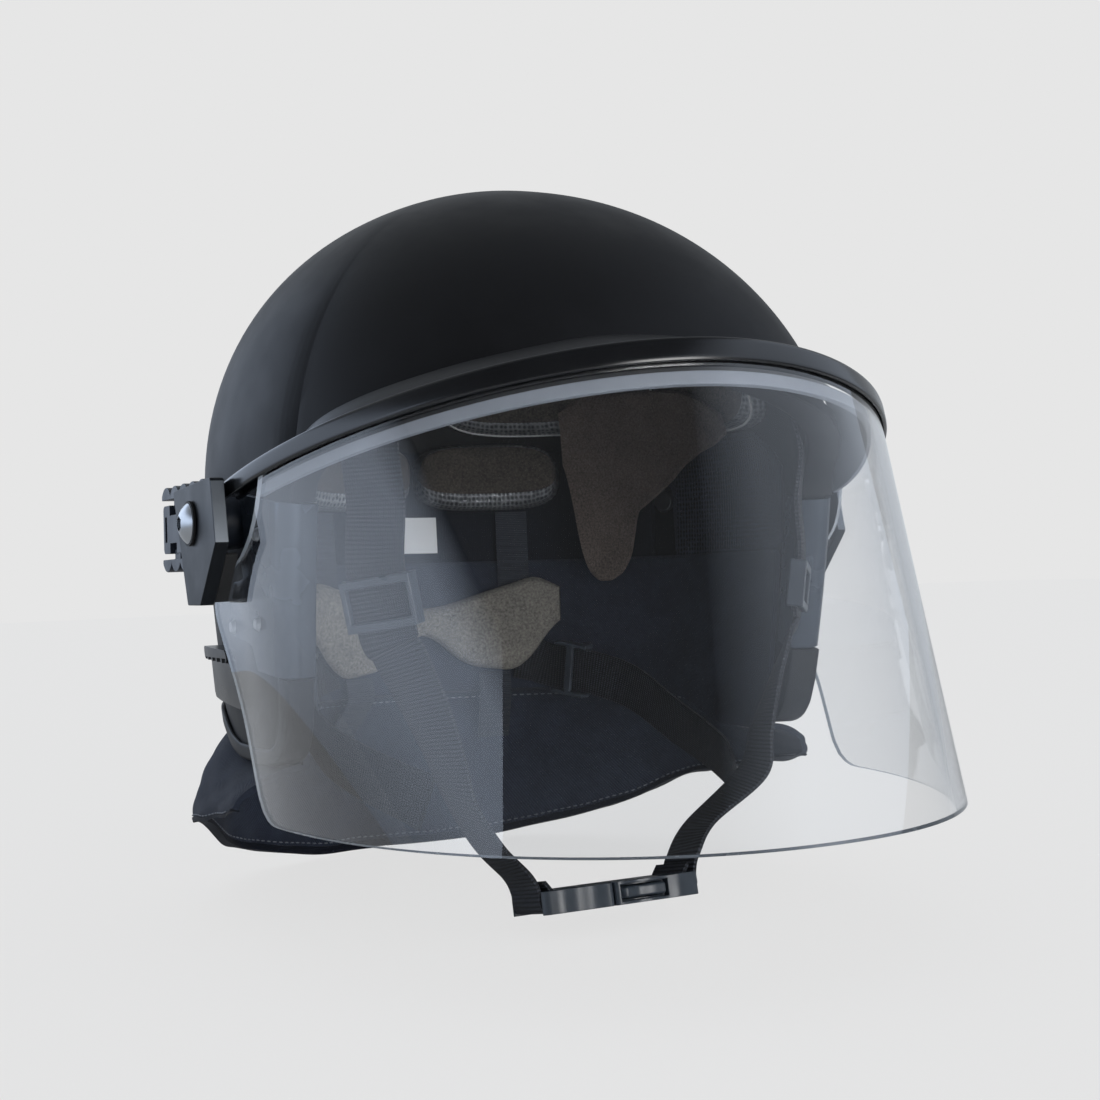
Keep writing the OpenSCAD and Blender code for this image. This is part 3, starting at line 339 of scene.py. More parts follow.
def sweep(path, radius, sides=8, closed=False):
    """A round section carried along a path: each ring stands square to the path."""
    along = unit(np.roll(path, -1, 0) - np.roll(path, 1, 0) if closed else np.gradient(path, axis=0))
    side = unit(np.cross(along, [0.31, 0.17, 0.93]))
    up = np.cross(side, along)
    a = np.linspace(0, 2 * np.pi, sides, endpoint=False)[:, None, None]
    return path[None] + radius * (np.cos(a) * side[None] + np.sin(a) * up[None])


def stitches(name, path, finish, step):
    """A row of thread stitches: the path is cut at even steps and each stitch is a short bar."""
    share, radius, taper = 0.62, 0.32, np.array([0.35, 0.9, 1, 0.9, 0.35])[None, :, None]
    run = np.concatenate([[0], np.cumsum(np.linalg.norm(np.diff(path, axis=0), axis=1))])
    bars = []
    for s in np.arange(0, run[-1] - step, step):
        at = s + step * share * np.array([0, 0.15, 0.5, 0.85, 1])
        middle = np.stack([np.interp(at, run, path[:, k]) for k in range(3)], 1)
        bars.append(middle + (sweep(middle, radius, 5) - middle) * taper)
    return loft(name, bars, finish, sharp=80)


# %% [markdown]
# ## Finishes
# Most finishes share one recipe: two close tones mixed by a slow noise, a fine height pattern for
# the grain or the weave, and a roughness that wanders a little. Sizes are real, in millimetres.

# %% Material recipe
def material(name, dark, light, rough, grain, height, pattern="grain", patch=25.0, wander=0.08,
             specular=0.5, sheen=0.0, metallic=0.0, transmission=0.0):
    """A finish from two tones, a roughness, a grain size and a grain height in millimetres."""
    m = bpy.data.materials.new(name)
    t = blank_tree(m)
    place = add(t, "TexCoord")
    solid, cloth = place.outputs["Object"], place.outputs["UV"]
    slow = add(t, "TexNoise", {"Vector": solid, "Scale": 1000 / patch, "Detail": 3.0, "Roughness": 0.6})
    fine = add(t, "TexNoise", {"Vector": solid, "Scale": 1000 / grain, "Detail": 2.0, "Roughness": 0.55})
    high = fine.outputs["Fac"]
    share = slow.outputs["Fac"]
    if pattern == "twill":
        lines = add(t, "TexWave", {"Vector": cloth, "Scale": 0.6283 / grain, "Distortion": 0.6, "Detail": 1.0,
                                   "Detail Scale": 3.0}, bands_direction="DIAGONAL")
        high = add(t, "Math", {0: lines.outputs["Fac"], 1: high}, operation="ADD")
    if pattern == "weave":
        warp, weft = [add(t, "TexWave", {"Vector": cloth, "Scale": 0.3142 / size, "Distortion": 0.3},
                          bands_direction=way) for size, way in ((grain, "X"), (grain * 0.6, "Y"))]
        high = add(t, "Math", {0: warp.outputs["Fac"], 1: weft.outputs["Fac"]}, operation="MULTIPLY")
    if pattern == "mesh":
        cell = add(t, "TexVoronoi", {"Vector": cloth, "Scale": 1 / grain, "Randomness": 0.25})
        high = add(t, "MapRange", {"Value": cell.outputs["Distance"], "From Min": 0.2, "From Max": 0.55})
    if pattern == "grip":
        waves = add(t, "TexWave", {"Vector": solid, "Scale": 314.2 / grain}, bands_direction="X")
        high = waves.outputs["Fac"]
    if pattern == "nap":
        clear = add(t, "MapRange", {"Value": high, "From Min": 0.3, "From Max": 0.7})
        share = add(t, "Mix", {0: 0.55, 2: share, 3: clear})
    # Meshes and woven cloth are darker where their height pattern is low: painted shade in the hollows
    # between the threads and in the cells.
    if pattern in ("mesh", "weave", "twill"):
        share = add(t, "Math", {0: high, 1: share}, operation="MULTIPLY")
    tone = add(t, "Mix", {0: share, 6: linear(dark), 7: linear(light)}, data_type="RGBA")
    gloss = add(t, "MapRange", {"Value": slow.outputs["Fac"], "From Min": 0.25, "From Max": 0.75,
                                "To Min": rough - wander, "To Max": rough + wander})
    raised = add(t, "Bump", {"Height": high, "Strength": 1.0, "Distance": height * MM})
    face = add(t, "BsdfPrincipled", {
        "Base Color": tone.outputs[2], "Roughness": gloss, "Normal": raised, "Specular IOR Level": specular,
        "Sheen Weight": sheen, "Metallic": metallic, "Transmission Weight": transmission})
    add(t, "OutputMaterial", {0: face})
    return m


# %% The helmet's finishes
# Soft-touch paint of the shell: nearly black, wide soft highlight, 0.5 mm orange-peel grain.
shell_paint = material("soft_touch_black_paint", "#0F0F11", "#151619", 0.52, 0.5, 0.012, wander=0.05,
                       specular=0.15)
# Extruded rubber edging: satin, with fine pores.
edge_rubber = material("extruded_rubber", "#17181B", "#222326", 0.5, 0.6, 0.02, specular=0.2)
# The seal's upper face: near black and dull, darker than its grey lower face, so that no grey band
# shows above the lip.
seal_black = material("black_moulded_rubber", "#121316", "#1A1B1E", 0.45, 0.8, 0.015, patch=40)
# Moulded grey rubber of the brow seal: smooth and dull.
seal_rubber = material("grey_moulded_rubber", "#767C86", "#868C96", 0.55, 0.8, 0.015, patch=40)
# Satin painted alloy of the ear clamps: blue-grey, tight highlight down the rounded edge.
clamp_paint = material("satin_blue_grey_paint", "#39404A", "#464E59", 0.25, 0.7, 0.006, metallic=0.5)
# Zinc plate: bright metal dulled by a fine crystal grain.
zinc = material("zinc_plate", "#8F9296", "#B5B8BB", 0.3, 0.35, 0.006, metallic=1.0)
# Glass-filled nylon of the latch: dark blue-grey, spark-eroded mould grain.
latch_nylon = material("glass_filled_nylon", "#1E232C", "#2A303B", 0.42, 0.45, 0.02, specular=0.25)
# Acetal of the clips on the edge: black, smooth, tight highlight.
acetal = material("moulded_acetal", "#0E0F11", "#17181B", 0.3, 0.5, 0.006, specular=0.35)
# Slides of the harness: the same acetal with a grey dye.
grey_acetal = material("grey_moulded_acetal", "#30363E", "#3D444D", 0.35, 0.5, 0.006)
# The chin buckle: the same acetal, greyer, with 12 mm grip waves across its faces.
grip = material("moulded_grip", "#252B32", "#363E47", 0.36, 12.0, 0.9, "grip")
# Fibre washer and rubber packing: dead black.
fibre = material("black_fibre", "#0B0B0C", "#151516", 0.75, 0.5, 0.02)
# Black anodised aluminium of the side plates: fine brushed grain under a thin dye.
anodised = material("black_anodised_plate", "#0F1114", "#191C20", 0.4, 0.4, 0.005, specular=0.12)
# Bare aluminium where the plate's front edge was milled.
milled = material("milled_aluminium", "#5F646A", "#7C8187", 0.5, 0.4, 0.01, metallic=0.8)
# Polished rubber of the shield's lip: near black with a clear reflection.
lip_gloss = material("glossy_lip_rubber", "#0A0B0D", "#121316", 0.22, 1.2, 0.004, wander=0.04)
# Suede cloth over foam: short nap, brown-grey.
suede = material("suede_cloth", "#211E1C", "#615A53", 0.92, 1.0, 0.25, "nap", patch=9, sheen=0.1,
                 specular=0.2)
# The nape pad's suede: paler and greyer than the other suede. This is painted light, for the light that falls
# on the pad and the reflection on the shield in front of it.
nape_suede = material("nape_suede_painted_light", "#413F3C", "#9A968E", 0.9, 1.0, 0.2, "nap", patch=9, sheen=0.1,
                      specular=0.2)
# Aluminised bubble mesh round the sides of the pads: small bright cells.
bubble_mesh = material("aluminised_mesh", "#4A4D52", "#C4C7CB", 0.35, 2.2, 0.35, "mesh", metallic=0.55)
# Suede leather of the temple straps: tighter nap with darker patches.
leather = material("suede_leather", "#322C2A", "#7A6E67", 0.88, 0.8, 0.2, "nap", patch=14, sheen=0.08,
                   specular=0.2)
# Navy cloth of the liner: plain weave, 0.9 mm threads so that they show.
liner_weave = material("navy_plain_weave", "#12151D", "#2B303C", 0.9, 0.9, 0.12, "weave", sheen=0.04,
                       specular=0.15)
# Spacer mesh over the pivot nuts: open cells 1.8 mm across.
spacer_mesh = material("spacer_mesh", "#0A0D13", "#3B4254", 0.9, 1.8, 0.3, "mesh", sheen=0.04, specular=0.2)
# Ribbed elastic: rubber threads under grey yarn.
elastic = material("ribbed_elastic", "#2A2E36", "#5C616A", 0.85, 0.9, 0.1, "weave", sheen=0.05, specular=0.2)
# White woven label, left bare.
label_cloth = material("white_woven_label", "#E2E4E6", "#F0F1F2", 0.85, 0.5, 0.04, "weave")
# Nylon webbing: 1.5 mm ribs across the strap.
webbing = material("woven_nylon_webbing", "#0C0E12", "#565C69", 0.7, 1.5, 0.35, "weave", sheen=0.05,
                   specular=0.3)
# Navy twill of the neck curtain: diagonal 1.3 mm lines.
twill = material("navy_twill", "#181C26", "#3A4150", 0.85, 1.3, 0.16, "twill", sheen=0.06, specular=0.15)
# Folded tape round the hem: flatter weave and darker.
tape = material("navy_binding_tape", "#0D111B", "#202738", 0.82, 0.9, 0.1, "weave", sheen=0.05, specular=0.2)
# Off-white piping, and the grey thread of the seams.
piping_white = material("white_piping", "#C9CACA", "#E2E3E3", 0.7, 0.6, 0.04)
thread_grey = material("grey_thread", "#5A5F68", "#7A7F88", 0.7, 0.4, 0.03)
# Polished polycarbonate: clear, cool in tint, with faint unevenness in its surface.
clear_sheet = bpy.data.materials.new("clear_polycarbonate")
tree = blank_tree(clear_sheet)
place = add(tree, "TexCoord")
slow = add(tree, "TexNoise", {"Vector": place.outputs["Object"], "Scale": 18.0, "Detail": 1.0})
raised = add(tree, "Bump", {"Height": slow, "Strength": 0.4, "Distance": 0.05 * MM})
face = add(tree, "BsdfPrincipled", {"Base Color": linear("#FDFEFF"), "Roughness": 0.015, "IOR": 1.585,
                                    "Transmission Weight": 1.0, "Normal": raised})
add(tree, "OutputMaterial", {0: face})
print("materials", len(bpy.data.materials))

# %% [markdown]
# ## The form of the shell
# The shell is a superellipse in plan and in side view. A point is found from its bearing, where 0
# looks forward, its height, and how far it lies outside the shell. The same formula made the CAD.

# %% Shell surface
# Half width, reach to the front and the back, height and wall, then the powers of the superellipses.
HALF_W, FRONT, BACK, CROWN, WALL = 122.0, 125.0, 124.0, 120.5, 8.0
PLAN_P, BROW_P, FRONT_P, BACK_P, TAPER = 2.2, 2.6, 1.95, 2.25, 0.065
EAR_DROP, NAPE_DROP, BROW_Z, EAR_LEAD, EAR_FOOT = 98.0, 84.0, 34.5, 61.0, 68.5
TRIM_H, TRIM_T, TRIM_FOOT = 3.6, 1.8, 2.4


def share(z, top, power):
    """How much of the plan is left at a height: a superellipse above 0, a slow taper below it."""
    over = np.maximum(0, 1 - (np.clip(z, 0, top) / top) ** power) ** (1 / power)
    under = 1 - TAPER * (np.clip(-z, 0, EAR_DROP + 14) / EAR_DROP) ** 1.5
    return np.where(z > 0, over, under)


def polar(r, a, z):
    """Points at a distance from the middle, a bearing and a height."""
    return np.stack([r * np.sin(np.radians(a)), -r * np.cos(np.radians(a)), z], -1)


def reach(a, z, g):
    """Distance from the middle at bearing a, height z and g outside the shell."""
    s, c = np.sin(np.radians(a)), np.cos(np.radians(a))
    p = np.where(c > 0, mix(BROW_P, PLAN_P, np.clip(z, 0, CROWN) / CROWN), PLAN_P)
    plan = (np.abs(s) / (HALF_W + g)) ** p + (np.abs(c) / (np.where(c > 0, FRONT, BACK) + g)) ** p
    return share(z, CROWN + g, mix(BACK_P, FRONT_P, (1 + c) / 2)) * plan ** (-1 / p)


def wall(a, z, g=0.0):
    """Points of the shell surface moved g outwards, from arrays of bearing, height and g."""
    a, z, g = np.broadcast_arrays(np.asarray(a, float), z, g)
    return polar(reach(a, z, g), a, z)


# %% The edge of the shell
# The edge is laid out flat as a path of corners, which a bell-shaped average rounds.
EDGE_STEP, BLUR = 0.5, 12
brow_turns = [(-1, 1), (8, .98), (14, .92), (20, .82), (26, .71), (32, .6), (38, .46), (44, .32), (50, .155),
              (54.5, 0)]
turns = [(a * EAR_LEAD / 59, mix(8.5, BROW_Z, h)) for a, h in brow_turns] + [
    (EAR_LEAD - 1.5, 4), (EAR_LEAD, -1), (EAR_LEAD + .7, -7), (mix(EAR_LEAD, EAR_FOOT, .31), -30),
    (mix(EAR_LEAD, EAR_FOOT, .69), -69), (EAR_FOOT - 1.2, -82), (EAR_FOOT + .2, -90), (EAR_FOOT + 2.5, -95.5),
    (EAR_FOOT + 6, -EAR_DROP), (92, -EAR_DROP), (98, -95.5)] + [
    (a, mix(-EAR_DROP, -NAPE_DROP, h)) for a, h in ((104, .58), (110, .82), (118, .9), (136, 1), (181, 1))]
ARC = (HALF_W - WALL / 2) * np.pi / 180
corner = np.array(turns) * [ARC, 1]
run = np.concatenate([[0], np.cumsum(np.linalg.norm(np.diff(corner, axis=0), axis=1))])
even = np.arange(0, run[-1], EDGE_STEP)
flat = np.stack([np.interp(even, run, corner[:, k]) for k in (0, 1)], 1)
bell = np.exp(-np.linspace(-3, 3, 2 * BLUR + 1) ** 2 / 2)
bell /= bell.sum()
longer = np.pad(flat, ((BLUR, BLUR), (0, 0)), mode="edge")
flat = np.stack([np.convolve(longer[:, k], bell, "valid") for k in (0, 1)], 1)
flat = flat[(flat[:, 0] >= 0) & (flat[:, 0] <= 180 * ARC)]
flat[0, 0], flat[-1, 0] = 0, 180 * ARC
heading = unit(np.gradient(flat, axis=0))
inward = np.stack([-heading[:, 1], heading[:, 0]], 1)


def edge_z(a):
    """Height of the shell's edge at a bearing, the same on both sides."""
    a = np.abs((np.asarray(a, float) + 180) % 360 - 180)
    return np.interp(a * ARC, flat[:, 0], flat[:, 1])


def edge_line(d, low, high, rear=False):
    """Bearings and heights of the edge moved d into the shell, between two stations, on both sides."""
    p = (flat + inward * d)[low:high]
    a, z = p[:, 0] / ARC, p[:, 1]
    if rear:
        a, z = a[::-1], z[::-1]
    mirror = 360 - a if rear else -a
    return np.concatenate([mirror[::-1], a[1:]]), np.concatenate([z[::-1], z[1:]])


CLAMP_TOP, CLAMP_FOOT = -7.7, -68.3
top_station = int(np.argmax(flat[:, 1] < CLAMP_TOP))
low_station = int(np.argmax(flat[:, 1] < CLAMP_FOOT))
print("edge stations", len(flat), "clamp", top_station, low_station)


# %% [markdown]
# ## Shell
# The real shell is pressed from reinforced resin and sprayed. The skin runs from the crown down the
# outside, round the edge, and up the inside, so it is one closed wall 8 mm thick.

# %% Shell skin
def dome(g, count):
    """Rows of the shell from its edge to the crown, spaced by the angle of a quarter circle. The
    distance from the middle is averaged over some degrees, as sanding evens out a pattern."""
    a = np.linspace(0, 360, 240, endpoint=False)
    foot = edge_z(a)
    h = CROWN + g
    start = np.where(foot > 0, np.degrees(np.arcsin((np.clip(foot, 0, h) / h) ** (BACK_P / 2))), foot / 1.5)
    w = mix(start, 90.0, np.linspace(0, 1, count)[:, None])
    z = np.where(w > 0, h * np.sin(np.radians(np.clip(w, 0, 90))) ** (2 / BACK_P), w * 1.5)
    turn = np.linspace(-24, 24, 13)
    weight = np.exp(-(turn / 11) ** 2)
    r = sum(k * reach(a + t, z, g) for k, t in zip(weight / weight.sum(), turn))
    return polar(r, a, z)


skin = np.concatenate([dome(0.0, 70)[::-1], dome(-WALL, 44)])
loft("shell_skin", [skin], shell_paint, "shell", wrap_rows=False, wrap_cols=True, caps=False)

# %% [markdown]
# ## Rubber edging
# A channel of rubber is pushed over the cut edge of the shell. Its section is drawn once, its corners
# are rounded, and it is carried along the edge at a fixed distance from it.

# %% Edging
def rounded(points, radius, steps=4):
    """A closed outline whose corners are short curves that start a radius away from each corner."""
    p = np.array(points, float)

    def toward(q):
        gap = np.linalg.norm(q - p, axis=1, keepdims=True)
        return p + (q - p) * np.minimum(radius, gap * 0.45) / gap

    a, b = toward(np.roll(p, 1, 0))[:, None], toward(np.roll(p, -1, 0))[:, None]
    t = np.linspace(0, 1, steps)[None, :, None]
    return ((1 - t) ** 2 * a + 2 * t * (1 - t) * p[:, None] + t ** 2 * b).reshape(-1, 2)


face, hidden = TRIM_T + 0.2, -WALL - TRIM_T - 0.4
channel = rounded([(TRIM_H, face), (-TRIM_FOOT, face), (-TRIM_FOOT, hidden), (TRIM_H, hidden),
                   (TRIM_H, -WALL - 0.3), (-0.1, -WALL - 0.3), (-0.1, 0.2), (TRIM_H, 0.2)], 1.2)
for name, low, high, rear in (("edging_front", 0, top_station, False),
                              ("edging_rear", low_station, len(flat), True)):
    grid = []
    for d, g in channel:
        a, z = edge_line(d, low, high, rear)
        grid.append(wall(a, z, g)[::3])
    loft(name, [np.array(grid)], edge_rubber, "rim_trim")

# %% [markdown]
# ## Face shield
# The shield is a flat polycarbonate sheet bent round the face. Straight lines run down it from a bow
# at the lip to a wider bow at the foot. Its side outline is cut with a notch round the pivot. Light
# passes a clear sheet almost whole, so the sheet casts no shadow on the liner behind it.

# %% Shield surface
SIDE, REACH, BOW_TOP, BOW_FOOT = HALF_W + 6.3, FRONT + 31.6, 35.4, 49.9
LIP_Z, LIP_RISE, DROP, TUCK, FLARE, SHEET_T = -1.8, 36.0, 114.8, 5.3, 44.0, 4.0
FOOT_Z, LIP_P, FOOT_P, RISE_P = LIP_Z - DROP, 1.93, 2.1, 1.21


def bow(u, w, start, end, power):
    """Plan of the bow: a superellipse up to u 1, then a straight side."""
    t = np.radians(np.clip(u, -1, 1) * 90)
    past = np.maximum(0, np.abs(u) - 1)
    x = w * np.sign(t) * np.abs(np.sin(t)) ** (2 / power)
    return x, -mix(start, end, np.abs(np.cos(t)) ** (2 / power)) + past * 60


def sheet(u, v, g):
    """Point of the shield at u round the bow, share v down it, and g outside its middle."""
    u, v, g = np.broadcast_arrays(np.asarray(u, float), v, g)
    tx, ty = bow(u, SIDE + g, BOW_TOP, REACH + g, LIP_P)
    fx, fy = bow(u, SIDE - TUCK + g, BOW_FOOT, REACH + FLARE + g, FOOT_P)
    rise = LIP_RISE * np.maximum(0, (-ty - BOW_TOP) / (REACH - BOW_TOP)) ** RISE_P
    top = np.stack([tx, ty, LIP_Z + rise], -1)
    foot = np.stack([fx, fy, FOOT_Z + 0 * fx], -1)
    return mix(top, foot, v[..., None])


outline = rounded([(-200, 80), (-62, 80), (-62, -3), (-52, -23), (-6, -41), (-36, -78), (-52, FOOT_Z),
                   (-200, FOOT_Z)], 12, 8)
rear_edge = outline[outline[:, 0] > -80]
rear_y, rear_z = rear_edge[np.argsort(rear_edge[:, 1])].T


def shield_span(u):
    """First and last share v at which the straight line at u lies in front of the cut rear edge."""
    v = np.linspace(0, 1, 801)
    p = sheet(u, v, 0.0)
    ok = p[:, 1] < np.interp(p[:, 2], rear_z, rear_y)
    return (v[ok][0], v[ok][-1]) if ok.any() else None


last = max(u for u in np.linspace(0.9, 1.75, 400) if shield_span(u))
stations = last * np.sin(np.linspace(-np.pi / 2, np.pi / 2, 241))
ROWS, TIP = 24, 0.35
spans = np.array([shield_span(abs(u)) or (TIP, TIP) for u in stations])
share_v = mix(spans[:, 0], spans[:, 1], np.linspace(0, 1, ROWS)[:, None])
sawn_edge = material("polished_sheet_edge", "#8F99A5", "#A3ADB8", 0.25, 0.8, 0.004, wander=0.05,
                     transmission=0.35)
faces = [sheet(stations[None] + 0 * share_v, share_v, g) for g in (SHEET_T / 2, -SHEET_T / 2)]
shield = loft("shield_clear", [np.concatenate([faces[0], faces[1][::-1]])], [clear_sheet, sawn_edge],
              "visor_sheet", body="visor", by_row=([0] * (ROWS - 1) + [1]) * 2)
bevel(shield, 0.5, 50)
shield.visible_shadow = False
print("shield to u", round(float(last), 3))

# %% [markdown]
# ## Lip of the shield
# A rubber moulding grips the upper edge of the sheet. Its slotted section is carried along that edge.

# %% Lip
LIP_W, LIP_H, SLOT_GAP = 7.5, 6.0, 0.05
w, high = LIP_W / 2, LIP_H / 2
slot_half = SHEET_T / 2 + SLOT_GAP
lip_section = rounded([(-w, -high), (-w, high), (w, high), (w, -high), (slot_half, -high), (slot_half, 0.1),
                       (-slot_half, 0.1), (-slot_half, -high)], 1.3)
u = np.linspace(-1.05, 1.05, 221)
lip_grid = np.array([sheet(u, -h / DROP + 0 * u, g) for g, h in lip_section])
loft("shield_lip", [lip_grid], lip_gloss, "visor_lip", body="visor")

# %% [markdown]
# ## Seal between brow and shield
# A grey rubber seal fills the crescent between the shell's brow and the lip, and keeps liquids out.
# Its section bows upwards between the two.

# %% Seal
GASKET_T = 3.5
u = np.linspace(-0.88, 0.88, 161)
gap, clear = SHEET_T / 2 + 0.4, LIP_W / 2 + 0.7
v_top = (LIP_H / 2 + 1.1) / DROP
v_low = v_top + GASKET_T / DROP
far = sheet(u, 0 * u, -gap)
bearing = np.degrees(np.arctan2(far[:, 0], -far[:, 1]))
top_a, top_z = edge_line(TRIM_H, 0, top_station)
rise = np.maximum(far[:, 2] + 1, np.interp(bearing, top_a, top_z) + 5.2)
rise = np.convolve(np.pad(rise, 4, mode="edge"), np.ones(9) / 9, "valid")
near_low, near_high = wall(bearing, rise, 0.15), wall(bearing, rise + GASKET_T, 0.15)
arch = np.linspace(0, 1, 12)[:, None, None]


def crescent(a, b, lift):
    """Rows from a to b that bow by lift in the middle, as a sine."""
    return mix(a[None], b[None], arch) + np.sin(np.pi * arch) * np.array([0, 0, lift])


SEAL_BOW = 2.2
upper = crescent(sheet(u, v_top + 0 * u, -clear), near_high, SEAL_BOW)
lower = crescent(near_low, sheet(u, v_low + 0 * u, -clear), SEAL_BOW)
tongue = [sheet(u, v + 0 * u, -gap)[None] for v in (v_top, v_low)]
half = len(upper) + 1
seal = loft("brow_seal", [np.concatenate([tongue[0], upper, lower, tongue[1]])], [seal_rubber, seal_black],
            "brow_gasket", by_row=[1] * half + [0] * half)
bevel(seal, 0.5, 50)

# %% [markdown]
# ## Ear clamps
# A painted alloy channel grips the shell's front edge on each side. Its front corner is a wide round,
# which a bevel can't make, so it is carried along the edge like the rubber.

# %% Clamps
CLAMP_T, NOSE = 3.0, 7.0
rail, rail_in = flat[top_station:low_station:2], inward[top_station:low_station:2]
rail_y = wall(rail[:, 0] / ARC, rail[:, 1], CLAMP_T)[:, 1]
depths, rear_line = [7, 36.5, 38.5, 57, 59.5, 69], [-31, -33.5, -27.5, -17.5, -34, -36]
outer_reach = np.interp(-rail[:, 1], depths, rear_line) - rail_y
inner_reach = np.interp(-rail[:, 1], [7, 69], [-46, -40]) - rail_y


def clamp(side):
    """A channel over the shell's front edge: a section of distances into the shell and heights over
    its face, with a wide round on the outer front corner, carried down the edge."""
    low, under, over = -WALL - CLAMP_T, -WALL - 0.2, 0.15
    turn = np.linspace(0, np.pi / 2, 12)
    near = NOSE - CLAMP_T
    rows = [(mix(outer_reach, near, k), CLAMP_T) for k in np.linspace(0, 0.9, 8)]
    rows += [(near - NOSE * np.sin(t), CLAMP_T - NOSE + NOSE * np.cos(t)) for t in turn]
    rows += [(-CLAMP_T, low + 1), (0.3 - CLAMP_T, low + 0.3), (1 - CLAMP_T, low)]
    rows += [(inner_reach * k, low) for k in (0.3, 0.6, 1)]
    rows += [(inner_reach * k, under) for k in (1, 0.6, 0.3)] + [(-0.2, under), (-0.2, over)]
    rows += [(outer_reach * k, over) for k in (0.2, 0.4, 0.6, 0.8, 1)]
    grid = []
    for d, g in rows:
        p = rail + rail_in * (np.zeros(len(rail)) + d)[:, None]
        grid.append(wall(side * p[:, 0] / ARC, p[:, 1], g))
    name = "left" if side > 0 else "right"
    bevel(loft("clamp_" + name, [np.array(grid)], clamp_paint, "ear_clamp_" + name), 0.7, 50, 3)


clamp(1)
clamp(-1)

# %% [markdown]
# ## Moulded and machined parts
# Latches, screws, slides and the buckle have the right shape in the CAD model. A real part has a small
# radius on every edge that catches the light, so each is a bevelled copy.

# %% Hardware
def front_cut(bm):
    """Gives the second finish to the faces of a side plate that look straight forward."""
    for f in bm.faces:
        f.material_index = int(f.normal.y < -0.97)


PAIRS = (("latch_block_", latch_nylon, 0.5), ("latch_tab_upper_", latch_nylon, 0.35),
         ("latch_tab_lower_", latch_nylon, 0.35), ("pivot_bush_", zinc, 0.2), ("pivot_screw_", zinc, 0.15),
         ("rim_clip_", acetal, 0.4), ("strap_slider_", grey_acetal, 0.5), ("nape_slider_", grey_acetal, 0.5))
SINGLES = (("clamp_rivets", zinc, 0.2), ("pivot_washers", fibre, 0.15), ("pivot_nuts", zinc, 0.25),
           ("shell_bolts", zinc, 0.2), ("buckle_socket", grip, 1.0), ("buckle_plug", grip, 1.0),
           ("buckle_prong_front", grip, 1.0), ("buckle_prong_rear", grip, 1.0),
           ("bracket_pads", fibre, 0.3), ("liner_label", label_cloth, 0.15))
for side in ("right", "left"):
    for part, finish, mm in PAIRS:
        dress(part + side, finish, mm)
    dress("visor_bracket_" + side, [anodised, milled], 0.35, shape=front_cut)
for part, finish, mm in SINGLES:
    dress(part, finish, mm)

# %% [markdown]
# ## Head pads
# Each pad is a foam cushion with a suede face, a silvery mesh side and white piping in the seam.
# Its face bulges by a product of two bumps, so the corners pull in.

# %% Pads
def bump(s, p):
    """A flat-topped hill over -1 to 1."""
    return np.maximum(0, 1 - np.abs(s) ** p) ** (1 / p)


BAND_G, BAND_T = -WALL - 0.6, 3.0
HIGH_G = BAND_G - 0.5
PAD_T, PAD_EDGE = 15.0, 6
PAD_G = BAND_G - BAND_T - 0.5


def hull(a, z, swell, g, t, edge, quilt=0.0):
    """Back and face rows of a pad, t thick where it swells and edge thick at its rim, and its seam."""
    rear = wall(a + 0 * z, z, g)
    front = wall(a + 0 * z, z, g - edge - (t - edge) * swell + quilt)
    seam = np.concatenate([front[0], front[:, -1][1:], front[-1][::-1][1:], front[:, 0][::-1][1:-1]])
    return np.concatenate([rear, front[::-1]]), seam


def cushion(a1, a2, z1, z2, g):
    """An oval cushion between two bearings and two heights, with a little quilting on its face."""
    s = -np.cos(np.linspace(0, np.pi, 56))
    k = np.linspace(-1, 1, 22)[:, None]
    a = mix(a1, a2, (s + 1) / 2)
    swell = bump(s, 4) * bump(k, 3.2)
    quilt = 0.5 * np.sin(np.radians(a * 14)) * np.sin(k * 7) * swell
    half = np.maximum(0.12, bump(s, 3.4)) * (z2 - z1) / 2
    return hull(a, (z1 + z2) / 2 + k * half, swell, g, PAD_T, PAD_EDGE, quilt)


def pair(a1, a2, *rest):
    """A cushion and its mirror image."""
    return [cushion(a1, a2, *rest), cushion(-a2, -a1, *rest)]


def pad(name, node, cushions, start, end, finishes=(suede, bubble_mesh), piped=True):
    """One pad or a pair of pads with piping. The first finish is on the front rows, apart from a few at
    their start and end that belong to the sides."""
    rows = len(cushions[0][0])
    by_row = np.ones(rows, int)
    by_row[rows // 2 + start:-end] = 0
    piece = loft(name, [skin for skin, seam in cushions], finishes, node, sharp=50, by_row=by_row)
    if piped:
        pipes = [sweep(seam, 0.6, closed=True) for skin, seam in cushions]
        loft(name + "_piping", pipes, piping_white, sharp=80, wrap_cols=True, caps=False)


pad("brow_pad", "front_pad", [cushion(-54, 54, 45, 76, HIGH_G)], 1, 2)
pad("ear_pads", "side_pads", pair(72, 108.5, 25, 60, HIGH_G), 1, 2)
pad("high_rear_pads", "upper_rear_pads", pair(112, 172, 31, 68, HIGH_G), 1, 4)
pad("low_rear_pads", "rear_pads", pair(142, 178.5, -4, 27, PAD_G), 1, 6, piped=False)

# %% [markdown]
# ## Crown pad
# The round foam pad under the crown is a turned profile with a rolled rim. A slight ripple round it
# stands for the six petals that it is sewn from.

